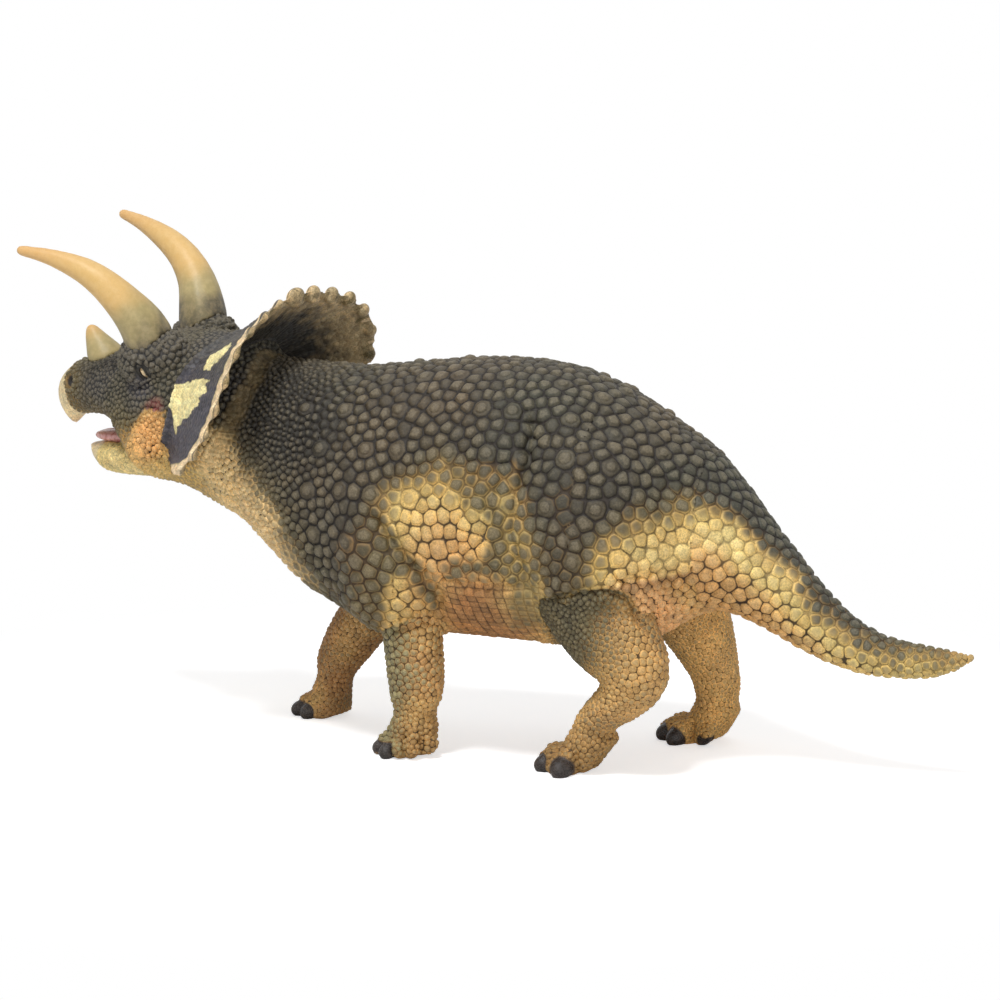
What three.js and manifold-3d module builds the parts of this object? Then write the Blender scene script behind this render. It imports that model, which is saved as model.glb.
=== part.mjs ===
// A moulded toy figure of a striding triceratops, about 225 mm from horn tip to tail tip.
// It stands on the ground plane z = 0, looks along -X, and its left side faces -Y.
// A hollow body casting carries four legs, a tail and a head, each plugged into a socket and glued.
// The head casting carries the frill, three horns and the lower jaw, which holds the tongue.
import * as THREE from "three";
import { mergeVertices } from "three/addons/utils/BufferGeometryUtils.js";
import Module from "manifold-3d";

const wasm = await Module();
wasm.setup();

// Driving dimensions, in millimetres
const trunkLength = 106; // neck seam to tail seam
const backHeight = 87; // ground to the top of the back
const bodyWidth = 60;
const wall = 5; // the body casting's wall
const fitGap = 0.3; // clearance between two castings that meet
const weld = 0.0001; // points nearer than this are one
const overrun = 4; // how far a pin or cutter runs past the face that it crosses

const tailLength = 60;

const bossedScaleWidth = 4.4; // the large scales that stand in loose rows over the back
const bossedScaleRise = 0.6;
const bossedScaleStep = 10; // from one to the next along a row

const headLength = 53; // neck joint to the front of the beak
const headHeight = 34;
const headWidth = 33;
const headYaw = 10; // degrees, to the figure's right
const headRoll = 6; // degrees, right side up
const neckReach = 6; // neck seam forward to the neck joint, the head's own origin
const neckRise = 9.4; // the seam's middle up to that joint

const frillSpan = 65; // widest across the wings
const frillReach = 17; // neck joint back to the rear rim
const frillRise = 27; // neck joint up to the top rim
const frillRootThickness = 4.6;
const frillRimThickness = 2.6;
const frillBulge = 1.5; // how far the shield's middle swells forward
const knobLength = 4.6;
const knobWidth = 3.2;
const knobCount = 19;

const leftBrowHornLength = 38;
const rightBrowHornLength = 40.5; // the two were sculpted freely, not mirrored
const browHornWidth = 12;
const noseHornLength = 9;
const noseHornWidth = 9.6;
const tongueLength = 15;
const tongueWidth = 7;
const tongueThickness = 3;

const foreLegWidth = 14;
const hindLegWidth = 17;
const foreFootSize = 8; // middle of the foot to the tips of the hooves
const hindFootSize = 9.6;

const neckPlugRadius = 9;
const neckPlugLength = 11;
const tailPlugRadius = 8;
const tailPlugLength = 10;
const legPegRadius = 4.2;
const legPegLength = 8;
const bossWall = 3; // material round each leg socket
const hornPegRadius = 2.6;
const hornPegLength = 5;
const noseHornPegRadius = 1.8;
const noseHornPegLength = 3;
const frillKeyLength = 4;
const frillKeyWidth = 12;
const frillKeyHeight = 7;
const jawKeyLength = 8;
const jawKeyWidth = 7;
const jawKeyHeight = 3.6;
const tonguePegRadius = 1;
const tonguePegLength = 4; // from the tongue's middle

const trunkSides = 28;
const cavitySides = 16;
const headSides = 22;
const tailSides = 16;
const limbSides = 14;
const hornSides = 12;
const pinSides = 12;

const skinGreen = new THREE.MeshStandardMaterial({ color: 0x59573f, roughness: 0.62, metalness: 0 });
const skinTan = new THREE.MeshStandardMaterial({ color: 0xa48a52, roughness: 0.62, metalness: 0 });
const skinSlate = new THREE.MeshStandardMaterial({ color: 0x4a473d, roughness: 0.62, metalness: 0 });
const hornCream = new THREE.MeshStandardMaterial({ color: 0xd9b67c, roughness: 0.5, metalness: 0 });
const tonguePink = new THREE.MeshStandardMaterial({ color: 0xc47a72, roughness: 0.4, metalness: 0 });

// A point given as the figure itself would: ahead, to its left, and up
const at = (ahead, left, up) => new THREE.Vector3(-ahead, -left, up);

const ahead = at(1, 0, 0);
const back = at(-1, 0, 0);
const left = at(0, 1, 0);
const up = at(0, 0, 1);
const down = at(0, 0, -1);
const upright = new THREE.Vector3(0, 1, 0); // the way that three.js cylinders and spheres stand

// Joining and cutting

function solid(geometry) {
  const bare = new THREE.BufferGeometry();
  bare.setAttribute("position", geometry.getAttribute("position"));
  if (geometry.index) bare.setIndex(geometry.index);
  const merged = mergeVertices(bare, weld);
  return new wasm.Manifold(
    new wasm.Mesh({
      numProp: 3,
      vertProperties: merged.attributes.position.array,
      triVerts: new Uint32Array(merged.index.array),
    }),
  );
}

function geometryOf(body) {
  const { vertProperties, triVerts } = body.getMesh();
  const geometry = new THREE.BufferGeometry();
  geometry.setAttribute("position", new THREE.BufferAttribute(vertProperties, 3));
  geometry.setIndex(new THREE.BufferAttribute(triVerts, 1));
  geometry.computeVertexNormals();
  return geometry;
}

const joined = (bodies) => bodies.reduce((whole, body) => whole.add(body));
const without = (body, cutters) => cutters.reduce((rest, cutter) => rest.subtract(cutter), body);

// A box that fills the side of a plane that the normal points to
function beyond(point, normal) {
  const size = trunkLength + tailLength + headLength;
  const box = new THREE.BoxGeometry(size, size, size);
  box.translate(0, 0, size / 2);
  box.applyQuaternion(new THREE.Quaternion().setFromUnitVectors(up, normal.clone().normalize()));
  box.translate(point.x, point.y, point.z);
  return solid(box);
}

// A round pin from one point along a direction
function pin(from, direction, radius, length) {
  const cylinder = new THREE.CylinderGeometry(radius, radius, length, pinSides);
  cylinder.translate(0, length / 2, 0);
  const along = direction.clone().normalize();
  cylinder.applyQuaternion(new THREE.Quaternion().setFromUnitVectors(upright, along));
  cylinder.translate(from.x, from.y, from.z);
  return solid(cylinder);
}

// A peg that stands out of a joint face, and the hole that takes it in the other casting
function plug(seat, direction, radius, length) {
  return pin(seat.clone().addScaledVector(direction, -overrun), direction, radius, length + overrun);
}

function socket(seat, direction, radius, length) {
  return plug(seat, direction, radius + fitGap, length + fitGap);
}

// A box-shaped key of a given length, width and height, or its hole where it is grown
function key(centre, size, grow) {
  const box = new THREE.BoxGeometry(...size.map((side) => side + 2 * grow));
  return solid(box.translate(centre.x, centre.y, centre.z));
}

// A stretched ball. Its first radius lies along the direction given, its second to the side and
// its third upwards.
function ball(centre, direction, radii, sides = 12, rows = 8) {
  const sphere = new THREE.SphereGeometry(1, sides, rows);
  sphere.rotateX(Math.PI / 2);
  sphere.scale(...radii);
  const forward = direction.clone().normalize();
  const side = new THREE.Vector3().crossVectors(up, forward).normalize();
  const top = new THREE.Vector3().crossVectors(forward, side);
  sphere.applyMatrix4(new THREE.Matrix4().makeBasis(forward, side, top));
  sphere.translate(centre.x, centre.y, centre.z);
  return solid(sphere);
}

// Lofts

// A closed skin over rings with the same number of points, listed from one end to the other
function loft(rings) {
  const sides = rings[0].length;
  const points = rings.flat();
  const firstEnd = points.length;
  const middle = (ring) =>
    ring.reduce((sum, p) => sum.add(p), new THREE.Vector3()).divideScalar(sides);
  const all = [...points, middle(rings[0]), middle(rings[rings.length - 1])];
  const faces = [];
  for (let row = 0; row + 1 < rings.length; row++) {
    for (let k = 0; k < sides; k++) {
      const a = row * sides + k;
      const b = row * sides + ((k + 1) % sides);
      faces.push(a, b, b + sides, a, b + sides, a + sides);
    }
  }
  const last = (rings.length - 1) * sides;
  for (let k = 0; k < sides; k++) {
    const next = (k + 1) % sides;
    faces.push(firstEnd, next, k, firstEnd + 1, last + k, last + next);
  }
  const volume = faces.reduce((sum, _, i) => {
    if (i % 3) return sum;
    const [p, q, r] = [all[faces[i]], all[faces[i + 1]], all[faces[i + 2]]];
    return sum + p.dot(new THREE.Vector3().crossVectors(q, r));
  }, 0);
  const geometry = new THREE.BufferGeometry().setFromPoints(all);
  geometry.setIndex(volume > 0 ? faces : faces.reverse());
  return solid(geometry);
}

// A ring between a top and a bottom point. It is widest at a share of its height, and its sides
// are rounder than an ellipse where the fullness is over 1.
function section(top, bottom, halfWidth, widest = 0.45, fullness = 1, sides = trunkSides) {
  const waist = bottom.clone().lerp(top, widest);
  const ring = [];
  for (let k = 0; k < sides; k++) {
    const turn = (2 * Math.PI * k) / sides;
    const across = Math.sin(turn);
    const rise = Math.cos(turn);
    const end = rise > 0 ? top : bottom;
    const point = waist.clone().lerp(end, Math.abs(rise) ** (1 / fullness));
    const swell = Math.sign(across) * Math.abs(across) ** (1 / fullness);
    ring.push(point.addScaledVector(left, halfWidth * swell));
  }
  return ring;
}

// Evenly spaced rows between the rows of a table, on a smooth curve through all of them
function smoothed(rows, between) {
  const columns = rows[0].length;
  const result = [];
  for (let i = 0; i + 1 < rows.length; i++) {
    const [b, c] = [rows[i], rows[i + 1]];
    const a = rows[Math.max(i - 1, 0)];
    const d = rows[Math.min(i + 2, rows.length - 1)];
    for (let step = 0; step < between; step++) {
      const t = step / between;
      const row = [];
      for (let j = 0; j < columns; j++) {
        const m0 = (c[j] - a[j]) / 2;
        const m1 = (d[j] - b[j]) / 2;
        const rise = c[j] - b[j];
        const bend = 3 * rise - 2 * m0 - m1;
        const twist = m0 + m1 - 2 * rise;
        row.push(b[j] + t * (m0 + t * (bend + t * twist)));
      }
      result.push(row);
    }
  }
  result.push(rows[rows.length - 1]);
  return result;
}

// A limb or horn along a path of [point, half depth, half width]. Depth lies in the path's own
// upright plane, and width across it.
function tapered(stations, sides, grow = 0) {
  return loft(
    stations.map(([centre, depth, width], i) => {
      const before = stations[Math.max(i - 1, 0)][0];
      const after = stations[Math.min(i + 1, stations.length - 1)][0];
      const along = after.clone().sub(before).normalize();
      const across = left.clone().addScaledVector(along, -along.dot(left)).normalize();
      const deep = new THREE.Vector3().crossVectors(along, across);
      const ring = [];
      for (let k = 0; k < sides; k++) {
        const turn = (2 * Math.PI * k) / sides;
        ring.push(
          centre
            .clone()
            .addScaledVector(across, (width + grow) * Math.sin(turn))
            .addScaledVector(deep, (depth + grow) * Math.cos(turn)),
        );
      }
      return ring;
    }),
  );
}

// Body casting

// Along the trunk, top, bottom and half width: shares of trunkLength, backHeight and bodyWidth
const trunkShares = [
  [0, 0.967, 0.519, 0.302],
  [0.042, 0.972, 0.477, 0.335],
  [0.113, 0.968, 0.402, 0.385],
  [0.189, 0.962, 0.342, 0.415],
  [0.264, 0.966, 0.316, 0.43],
  [0.355, 0.982, 0.302, 0.445],
  [0.484, 0.998, 0.294, 0.47],
  [0.602, 1, 0.292, 0.48],
  [0.715, 0.98, 0.29, 0.475],
  [0.811, 0.932, 0.3, 0.435],
  [0.887, 0.877, 0.322, 0.375],
  [0.943, 0.838, 0.368, 0.32],
  [1, 0.794, 0.402, 0.27],
];
const trunkWidestShare = 0.44;
const trunkFullness = 1.06;
const alongTrunk = (share) => (0.5 - share) * trunkLength;

// The trunk's skin, grown outwards, or inwards where grow is below 0
function trunk(grow, rows = smoothed(trunkShares, 2), sides = trunkSides, frame = new THREE.Matrix4()) {
  const rings = rows.map(([along, high, low, wide]) => {
    return section(
      at(alongTrunk(along), 0, high * backHeight + grow),
      at(alongTrunk(along), 0, low * backHeight - grow),
      wide * bodyWidth + grow,
      trunkWidestShare,
      trunkFullness,
      sides,
    );
  });
  return loft(rings.map((ring) => ring.map((point) => point.applyMatrix4(frame))));
}

// Muscle masses that stand proud of the trunk over each limb. Places are shares of trunkLength,
// bodyWidth and backHeight, and radii are shares of the same three.
const shoulderShares = { place: [0.339, 0.27, 0.57], radii: [0.145, 0.22, 0.285], lean: -0.2 };
const thighShares = { place: [0.785, 0.27, 0.58], radii: [0.177, 0.24, 0.285], lean: -0.1 };

const muscleSides = 14;
const muscleRows = 10;
const bossedScaleSides = 7;
const bossedScaleRings = 4;

function muscle({ place, radii, lean }, side) {
  const centre = at(alongTrunk(place[0]), side * place[1] * bodyWidth, place[2] * backHeight);
  const sizes = [radii[0] * trunkLength, radii[1] * bodyWidth, radii[2] * backHeight];
  return ball(centre, at(1, 0, lean), sizes, muscleSides, muscleRows);
}

// Legs

// Ground to the shoulder fold and to the thigh fold, as shares of backHeight
const foreLegShare = 0.425;
const hindLegShare = 0.46;

// Each foot stands at a share of trunkLength behind the neck seam and of bodyWidth out. A leg runs
// from inside the body to its foot: ahead, out, up, half depth and half width, where the first three
// are shares of the leg's height, from its foot, and the last two of its width. The digits are
// [degrees outwards from the foot's heading, reach, width, hoof].
const foreDigitShares = [
  [-62, 0.8, 0.26, 1],
  [-26, 0.98, 0.3, 1],
  [10, 1, 0.31, 1],
  [48, 0.9, 0.28, 0],
  [88, 0.8, 0.25, 0],
];
const hindDigitShares = [
  [-48, 0.86, 0.27, 1],
  [-15, 1, 0.31, 1],
  [17, 1, 0.31, 1],
  [50, 0.88, 0.27, 1],
];

const legs = {
  left_foreleg: {
    side: 1,
    height: foreLegShare * backHeight,
    width: foreLegWidth,
    footShares: [0.387, 0.275],
    footSize: foreFootSize,
    heading: 14,
    seamShare: 0.86,
    seamLean: 0.5,
    muscle: shoulderShares,
    digits: foreDigitShares,
    shares: [
      [0.1, -0.1, 1.45, 0.62, 0.5],
      [0.03, -0.02, 1.2, 0.56, 0.52],
      [-0.02, 0, 0.92, 0.47, 0.48],
      [-0.03, 0.01, 0.7, 0.455, 0.46],
      [-0.05, 0.01, 0.47, 0.435, 0.43],
      [-0.04, 0, 0.27, 0.365, 0.38],
      [-0.025, 0, 0.15, 0.38, 0.4],
      [0, 0, 0.06, 0.42, 0.43],
      [0, 0, 0, 0.43, 0.44],
    ],
  },
  right_foreleg: {
    side: -1,
    height: foreLegShare * backHeight,
    width: foreLegWidth,
    footShares: [0.073, 0.217],
    footSize: foreFootSize,
    heading: 4,
    seamShare: 0.68,
    seamLean: -0.75,
    muscle: shoulderShares,
    digits: foreDigitShares,
    shares: [
      [-0.62, 0.1, 1.1, 0.6, 0.5],
      [-0.47, 0.1, 0.88, 0.56, 0.52],
      [-0.33, 0.08, 0.74, 0.5, 0.5],
      [-0.21, 0.06, 0.6, 0.45, 0.46],
      [-0.125, 0.04, 0.47, 0.41, 0.43],
      [-0.06, 0.03, 0.34, 0.36, 0.39],
      [-0.03, 0.01, 0.21, 0.31, 0.36],
      [-0.01, 0, 0.09, 0.34, 0.4],
      [0, 0, 0, 0.36, 0.41],
    ],
  },
  left_hind_leg: {
    side: 1,
    height: hindLegShare * backHeight,
    width: hindLegWidth,
    footShares: [0.774, 0.275],
    footSize: hindFootSize,
    heading: 8,
    seamShare: 0.98,
    seamLean: -0.12,
    muscle: thighShares,
    digits: hindDigitShares,
    shares: [
      [0.12, -0.05, 1.45, 0.8, 0.5],
      [0.035, 0.05, 1.2, 0.74, 0.53],
      [-0.055, 0.07, 1, 0.68, 0.53],
      [-0.175, 0.07, 0.8, 0.6, 0.5],
      [-0.285, 0.07, 0.66, 0.5, 0.46],
      [-0.32, 0.06, 0.55, 0.43, 0.43],
      [-0.235, 0.04, 0.42, 0.305, 0.38],
      [-0.085, 0.02, 0.28, 0.24, 0.35],
      [-0.07, 0.01, 0.19, 0.33, 0.38],
      [-0.005, 0, 0.09, 0.28, 0.36],
      [0.03, 0, 0.04, 0.22, 0.33],
    ],
  },
  right_hind_leg: {
    side: -1,
    height: hindLegShare * backHeight,
    width: hindLegWidth,
    footShares: [0.915, 0.35],
    footSize: hindFootSize,
    heading: 4,
    seamShare: 0.85,
    seamLean: -0.25,
    muscle: thighShares,
    digits: hindDigitShares,
    shares: [
      [0.275, -0.12, 1.35, 0.75, 0.48],
      [0.2, -0.1, 1.1, 0.68, 0.5],
      [0.11, -0.08, 0.87, 0.6, 0.48],
      [0.035, -0.05, 0.68, 0.49, 0.44],
      [-0.035, -0.03, 0.52, 0.38, 0.39],
      [-0.08, -0.01, 0.36, 0.3, 0.34],
      [-0.085, 0, 0.22, 0.31, 0.35],
      [-0.05, 0, 0.11, 0.32, 0.37],
      [0.005, 0, 0, 0.24, 0.34],
    ],
  },
};

// A digit, its hoof and the sole pad: how far out and up each lies and its radii, as shares of the
// foot's size. The width comes from the digit's own row.
const digitShares = { reach: 0.5, rise: 0.2, length: 0.42, width: 0.85, height: 0.3 };
const hoofShares = { reach: 0.8, rise: 0.16, length: 0.3, width: 0.8, height: 0.3 };
const padShares = { ahead: 0.18, rise: 0.14, length: 0.56, width: 0.62, height: 0.4 };
const toeSlope = 0.25; // how steeply a digit points down
const toeSides = 8;
const toeRows = 5;

const footPlace = ({ side, footShares }) =>
  at(alongTrunk(footShares[0]), side * footShares[1] * bodyWidth, 0);

// A point of a leg's table, in its own shares
const onLeg = (leg, [forward, out, rise]) =>
  footPlace(leg).add(at(forward, leg.side * out, rise).multiplyScalar(leg.height));

function limb(leg) {
  const stations = smoothed(leg.shares, 2).map((row) => [
    onLeg(leg, row),
    row[3] * leg.width,
    row[4] * leg.width,
  ]);
  return tapered(stations, limbSides);
}

// The foot's swellings, from its sole pad to the hooves
function digits(leg) {
  const { side, footSize, heading } = leg;
  const heel = footPlace(leg);
  const swelling = (direction, share, reach, width) => {
    const centre = heel.clone().addScaledVector(direction, share.reach * reach * footSize);
    centre.addScaledVector(up, share.rise * footSize);
    const sloped = direction.clone().addScaledVector(up, -toeSlope);
    const radii = [share.length, share.width * width, share.height].map((r) => r * footSize);
    return ball(centre, sloped, radii, toeSides, toeRows);
  };
  const toes = leg.digits.flatMap(([degrees, reach, width, hoof]) => {
    const angle = THREE.MathUtils.degToRad(degrees + heading);
    const direction = at(Math.cos(angle), side * Math.sin(angle), 0);
    const toe = swelling(direction, digitShares, reach, width);
    return hoof ? [toe, swelling(direction, hoofShares, reach, width)] : [toe];
  });
  const padPlace = heel.add(at(padShares.ahead, 0, padShares.rise).multiplyScalar(footSize));
  const padRadii = [padShares.length, padShares.width, padShares.height].map((r) => r * footSize);
  return [ball(padPlace, ahead, padRadii), ...toes];
}

// The point on a leg's middle line where its seam crosses it, and the seam's upward normal
function seamOf(leg) {
  const nearest = smoothed(leg.shares, 8).reduce((best, row) =>
    Math.abs(row[2] - leg.seamShare) < Math.abs(best[2] - leg.seamShare) ? row : best,
  );
  return { point: onLeg(leg, nearest), normal: at(leg.seamLean, 0, 1).normalize() };
}

const limbs = Object.entries(legs).map(([name, leg]) => ({
  name,
  leg,
  whole: limb(leg),
  ...seamOf(leg),
}));
const bodyClear = trunk(fitGap);

// A leg below its seam, cleared of the belly, cut flat at the ground, with its peg
function legCasting({ leg, whole, point, normal }) {
  const lower = without(joined([whole, ...digits(leg)]), [
    beyond(point.clone().addScaledVector(normal, -fitGap), normal),
    beyond(at(0, 0, 0), down),
    bodyClear,
  ]);
  return lower.add(plug(point, normal, legPegRadius, legPegLength));
}

// Places for the neck and tail plugs, at the middle of the trunk's end faces

function trunkEnd([along, high, low]) {
  return at(alongTrunk(along), 0, ((high + low) / 2) * backHeight);
}

const neckSeat = trunkEnd(trunkShares[0]);
const tailSeat = trunkEnd(trunkShares[trunkShares.length - 1]);
const boreShare = 0.25; // of the trunk's length, so that each bore opens into the hollow

// Rows of large bossed scales. Each scale stands where a line from the trunk's axis leaves the skin.
const bossedRowsPerSide = 5;
const bossedRowTurn = 21; // degrees from one row to the next
const bossedAxisShare = 0.65; // of backHeight
const bossedStartShare = 0.17; // of trunkLength, behind the frill
const bossedEndShare = 0.95;
const bossedSwayShare = 0.2; // how far a scale strays along its row, of a step

function bossedScales(skin) {
  const mesh = new THREE.Mesh(geometryOf(skin));
  const scales = [];
  const step = bossedScaleStep / trunkLength;
  for (let row = -bossedRowsPerSide; row <= bossedRowsPerSide; row++) {
    const turn = THREE.MathUtils.degToRad(row * bossedRowTurn);
    const outward = at(0, Math.sin(turn), Math.cos(turn));
    const offset = Math.abs(row % 2) / 2;
    for (let k = 0; bossedStartShare + (k + 1) * step < bossedEndShare; k++) {
      const sway = bossedSwayShare * Math.sin(k * k + 2 * row);
      const share = bossedStartShare + (k + offset + sway) * step;
      const start = at(alongTrunk(share), 0, bossedAxisShare * backHeight);
      start.addScaledVector(outward, backHeight);
      const [hit] = new THREE.Raycaster(start, outward.clone().negate()).intersectObject(mesh);
      const dome = new THREE.SphereGeometry(1, bossedScaleSides, bossedScaleRings);
      dome.scale(bossedScaleWidth / 2, bossedScaleRise, bossedScaleWidth / 2);
      dome.applyQuaternion(new THREE.Quaternion().setFromUnitVectors(upright, hit.face.normal));
      scales.push(solid(dome.translate(hit.point.x, hit.point.y, hit.point.z)));
    }
  }
  return scales;
}

// The hollow body, with its shoulders and thighs above the leg seams
function bodyCasting() {
  const masses = limbs.map(({ leg, whole, point, normal }) =>
    without(whole.add(muscle(leg.muscle, leg.side)), [beyond(point, normal.clone().negate())]),
  );
  const bossGrow = fitGap + bossWall;
  const bosses = limbs.map(({ point, normal }) =>
    pin(point, normal, legPegRadius + bossGrow, legPegLength + bossGrow),
  );
  const cavity = without(trunk(-wall, smoothed(trunkShares.slice(2, -1), 1), cavitySides), bosses);
  const legSockets = limbs.map(({ point, normal }) =>
    socket(point, normal, legPegRadius, legPegLength),
  );
  const bores = [
    socket(neckSeat, back, neckPlugRadius, boreShare * trunkLength),
    socket(tailSeat, ahead, tailPlugRadius, boreShare * trunkLength),
  ];
  const skin = joined([trunk(0), ...masses]);
  return without(joined([skin, ...bossedScales(skin)]), [cavity, ...bores, ...legSockets]);
}

// Tail

// Behind the tail seam as shares of tailLength, and up as shares of backHeight, for the top and then
// the bottom of each ring. The half width is a share of the trunk's at the seam.
const tailShares = [
  [0, 0.794, 0, 0.402, 1],
  [0.11, 0.716, 0.06, 0.4, 0.81],
  [0.22, 0.624, 0.14, 0.383, 0.642],
  [0.32, 0.546, 0.23, 0.353, 0.514],
  [0.42, 0.468, 0.33, 0.318, 0.425],
  [0.53, 0.4, 0.45, 0.282, 0.356],
  [0.66, 0.357, 0.6, 0.259, 0.287],
  [0.79, 0.345, 0.75, 0.256, 0.223],
  [0.89, 0.338, 0.865, 0.268, 0.158],
  [0.965, 0.336, 0.955, 0.3, 0.089],
  [0.995, 0.332, 0.992, 0.32, 0.028],
];
const tailWidestShare = 0.46;

function tailCasting() {
  const seam = alongTrunk(1);
  const rootHalfWidth = trunkShares[trunkShares.length - 1][3] * bodyWidth;
  const rings = smoothed(tailShares, 2).map(([topBack, high, lowBack, low, wide], i) => {
    const clear = i ? 0 : fitGap;
    return section(
      at(seam - topBack * tailLength - clear, 0, high * backHeight),
      at(seam - lowBack * tailLength - clear, 0, low * backHeight),
      wide * rootHalfWidth,
      tailWidestShare,
      1,
      tailSides,
    );
  });
  return loft(rings).add(plug(tailSeat, ahead, tailPlugRadius, tailPlugLength));
}

// Head, in its own frame: its origin is the neck joint

const headFrame = new THREE.Group();
headFrame.position.copy(neckSeat).add(at(neckReach, 0, neckRise));
headFrame.rotation.order = "ZXY";
headFrame.rotation.x = THREE.MathUtils.degToRad(headRoll);
headFrame.rotation.z = -THREE.MathUtils.degToRad(headYaw);
headFrame.updateMatrix();
const toHead = headFrame.matrix.clone().invert();

// Rings of the skull from the neck to the hooked beak: top ahead and up, bottom ahead and up, and
// half width, as shares of headLength, headHeight and headWidth
const skullShares = [
  [-0.28, 0.3, -0.22, -0.95, 0.56],
  [-0.1, 0.4, -0.06, -0.8, 0.5],
  [0.04, 0.45, 0.1, -0.68, 0.49],
  [0.2, 0.46, 0.25, -0.58, 0.49],
  [0.36, 0.445, 0.39, -0.55, 0.465],
  [0.49, 0.39, 0.5, -0.51, 0.42],
  [0.6, 0.32, 0.6, -0.22, 0.35],
  [0.7, 0.265, 0.7, -0.14, 0.275],
  [0.8, 0.235, 0.8, -0.13, 0.225],
  [0.9, 0.205, 0.87, -0.145, 0.18],
  [0.975, 0.13, 0.915, -0.19, 0.135],
  [1.02, 0.03, 0.94, -0.235, 0.09],
  [1.03, -0.08, 0.955, -0.25, 0.045],
];
const skullWidestShare = 0.52;
const skullFullness = 1.08;

// Swellings on each side of the skull, in the same shares: the brow, the eye, the cheek and the
// boss at the cheek's foot
const skullMassShares = [
  { place: [0.34, 0.29, 0.33], radii: [0.17, 0.19, 0.2], lean: -0.2 },
  { place: [0.37, 0.42, 0.28], radii: [0.06, 0.075, 0.08], lean: 0 },
  { place: [0.25, 0.33, -0.2], radii: [0.19, 0.17, 0.24], lean: 0.3 },
  { place: [0.345, 0.5, -0.23], radii: [0.08, 0.085, 0.12], lean: 0.2 },
];

const inHead = ([forward, out, rise], side = 1) =>
  at(forward * headLength, side * out * headWidth, rise * headHeight);

function headLoft(shares, grow, widest, fullness) {
  return loft(
    smoothed(shares, 2).map(([topAhead, high, lowAhead, low, wide]) =>
      section(
        inHead([topAhead, 0, high]).addScaledVector(up, grow),
        inHead([lowAhead, 0, low]).addScaledVector(up, -grow),
        wide * headWidth + grow,
        widest,
        fullness,
        headSides,
      ),
    ),
  );
}

// The skull's skin, grown outwards where a neighbour is cleared by it
function skull(grow) {
  const masses = [1, -1].flatMap((side) =>
    skullMassShares.map(({ place, radii, lean }) =>
      ball(inHead(place, side), at(1, 0, lean), [
        radii[0] * headLength + grow,
        radii[1] * headWidth + grow,
        radii[2] * headHeight + grow,
      ]),
    ),
  );
  return joined([headLoft(skullShares, grow, skullWidestShare, skullFullness), ...masses]);
}

const skullClear = skull(fitGap);

// Frill

// The shield's rear rim, from the foot of the left wing to the middle: ahead, left and up as shares
// of frillReach, frillSpan and frillRise
const rimShares = [
  [0.1, 0.42, -0.4],
  [-0.28, 0.45, -0.22],
  [-0.6, 0.47, 0],
  [-0.8, 0.47, 0.22],
  [-0.92, 0.44, 0.46],
  [-0.96, 0.385, 0.655],
  [-0.97, 0.3, 0.795],
  [-0.94, 0.17, 0.9],
  [-0.91, 0.07, 0.94],
  [-0.91, 0, 0.95],
];

// Its root on the skull, in the skull's shares
const rootShares = [
  [0.25, 0.36, -0.34],
  [0.192, 0.463, -0.206],
  [0.154, 0.473, -0.064],
  [0.122, 0.473, 0.079],
  [0.09, 0.453, 0.214],
  [0.042, 0.394, 0.326],
  [0.006, 0.295, 0.381],
  [-0.013, 0.197, 0.413],
  [-0.016, 0.098, 0.421],
  [-0.016, 0, 0.421],
];
const spokeShares = [0, 0.3, 0.6, 0.85, 1]; // along a spoke, from root to rim

// Both wings' rows from a table of the left one, left to right
function mirrored(rows) {
  const right = rows.slice(0, -1).reverse();
  return [...rows, ...right.map(([forward, side, rise]) => [forward, -side, rise])];
}

const onFrill = ([forward, side, rise]) =>
  at(forward * frillReach, side * frillSpan, rise * frillRise);
const rim = smoothed(mirrored(rimShares), 2).map(onFrill);
const root = smoothed(mirrored(rootShares), 2).map((row) => inHead(row));

// A ring round one spoke of the shield, up its front, over the rim and down its back
function spoke(i) {
  const next = rim[Math.min(i + 1, rim.length - 1)];
  const last = rim[Math.max(i - 1, 0)];
  const outward = rim[i].clone().sub(root[i]);
  const face = new THREE.Vector3().crossVectors(next.clone().sub(last), outward).normalize();
  if (face.dot(ahead) < 0) face.negate();
  const onFace = (share, side) => {
    const thickness = THREE.MathUtils.lerp(frillRootThickness, frillRimThickness, share);
    const swell = frillBulge * Math.sin(Math.PI * share) + (side * thickness) / 2;
    return root[i].clone().addScaledVector(outward, share).addScaledVector(face, swell);
  };
  const lip = rim[i].clone().addScaledVector(outward.normalize(), frillRimThickness / 2);
  const front = spokeShares.map((share) => onFace(share, 1));
  const rear = spokeShares.map((share) => onFace(share, -1)).reverse();
  return [...front, lip, ...rear];
}

const knobSides = 6;
const knobRows = 4;

// The row of knobs round the rim
function knobs() {
  const line = new THREE.CatmullRomCurve3(rim);
  return Array.from({ length: knobCount }, (_, i) => {
    const share = (i + 0.5) / knobCount;
    const radii = [knobLength / 2, knobWidth / 2, knobWidth / 2];
    return ball(line.getPointAt(share), line.getTangentAt(share), radii, knobSides, knobRows);
  });
}

const frillKeyPlace = root[(root.length - 1) / 2].clone().addScaledVector(down, frillKeyHeight / 3);

function frillCasting() {
  const shield = joined([loft(rim.map((_, i) => spoke(i))), ...knobs()]);
  const bodySkin = trunk(fitGap, smoothed(trunkShares, 2), trunkSides, toHead);
  const trimmed = without(shield, [skullClear, bodySkin]);
  return trimmed.add(key(frillKeyPlace, [frillKeyLength, frillKeyWidth, frillKeyHeight], 0));
}

// Horns, in the head's frame

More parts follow.
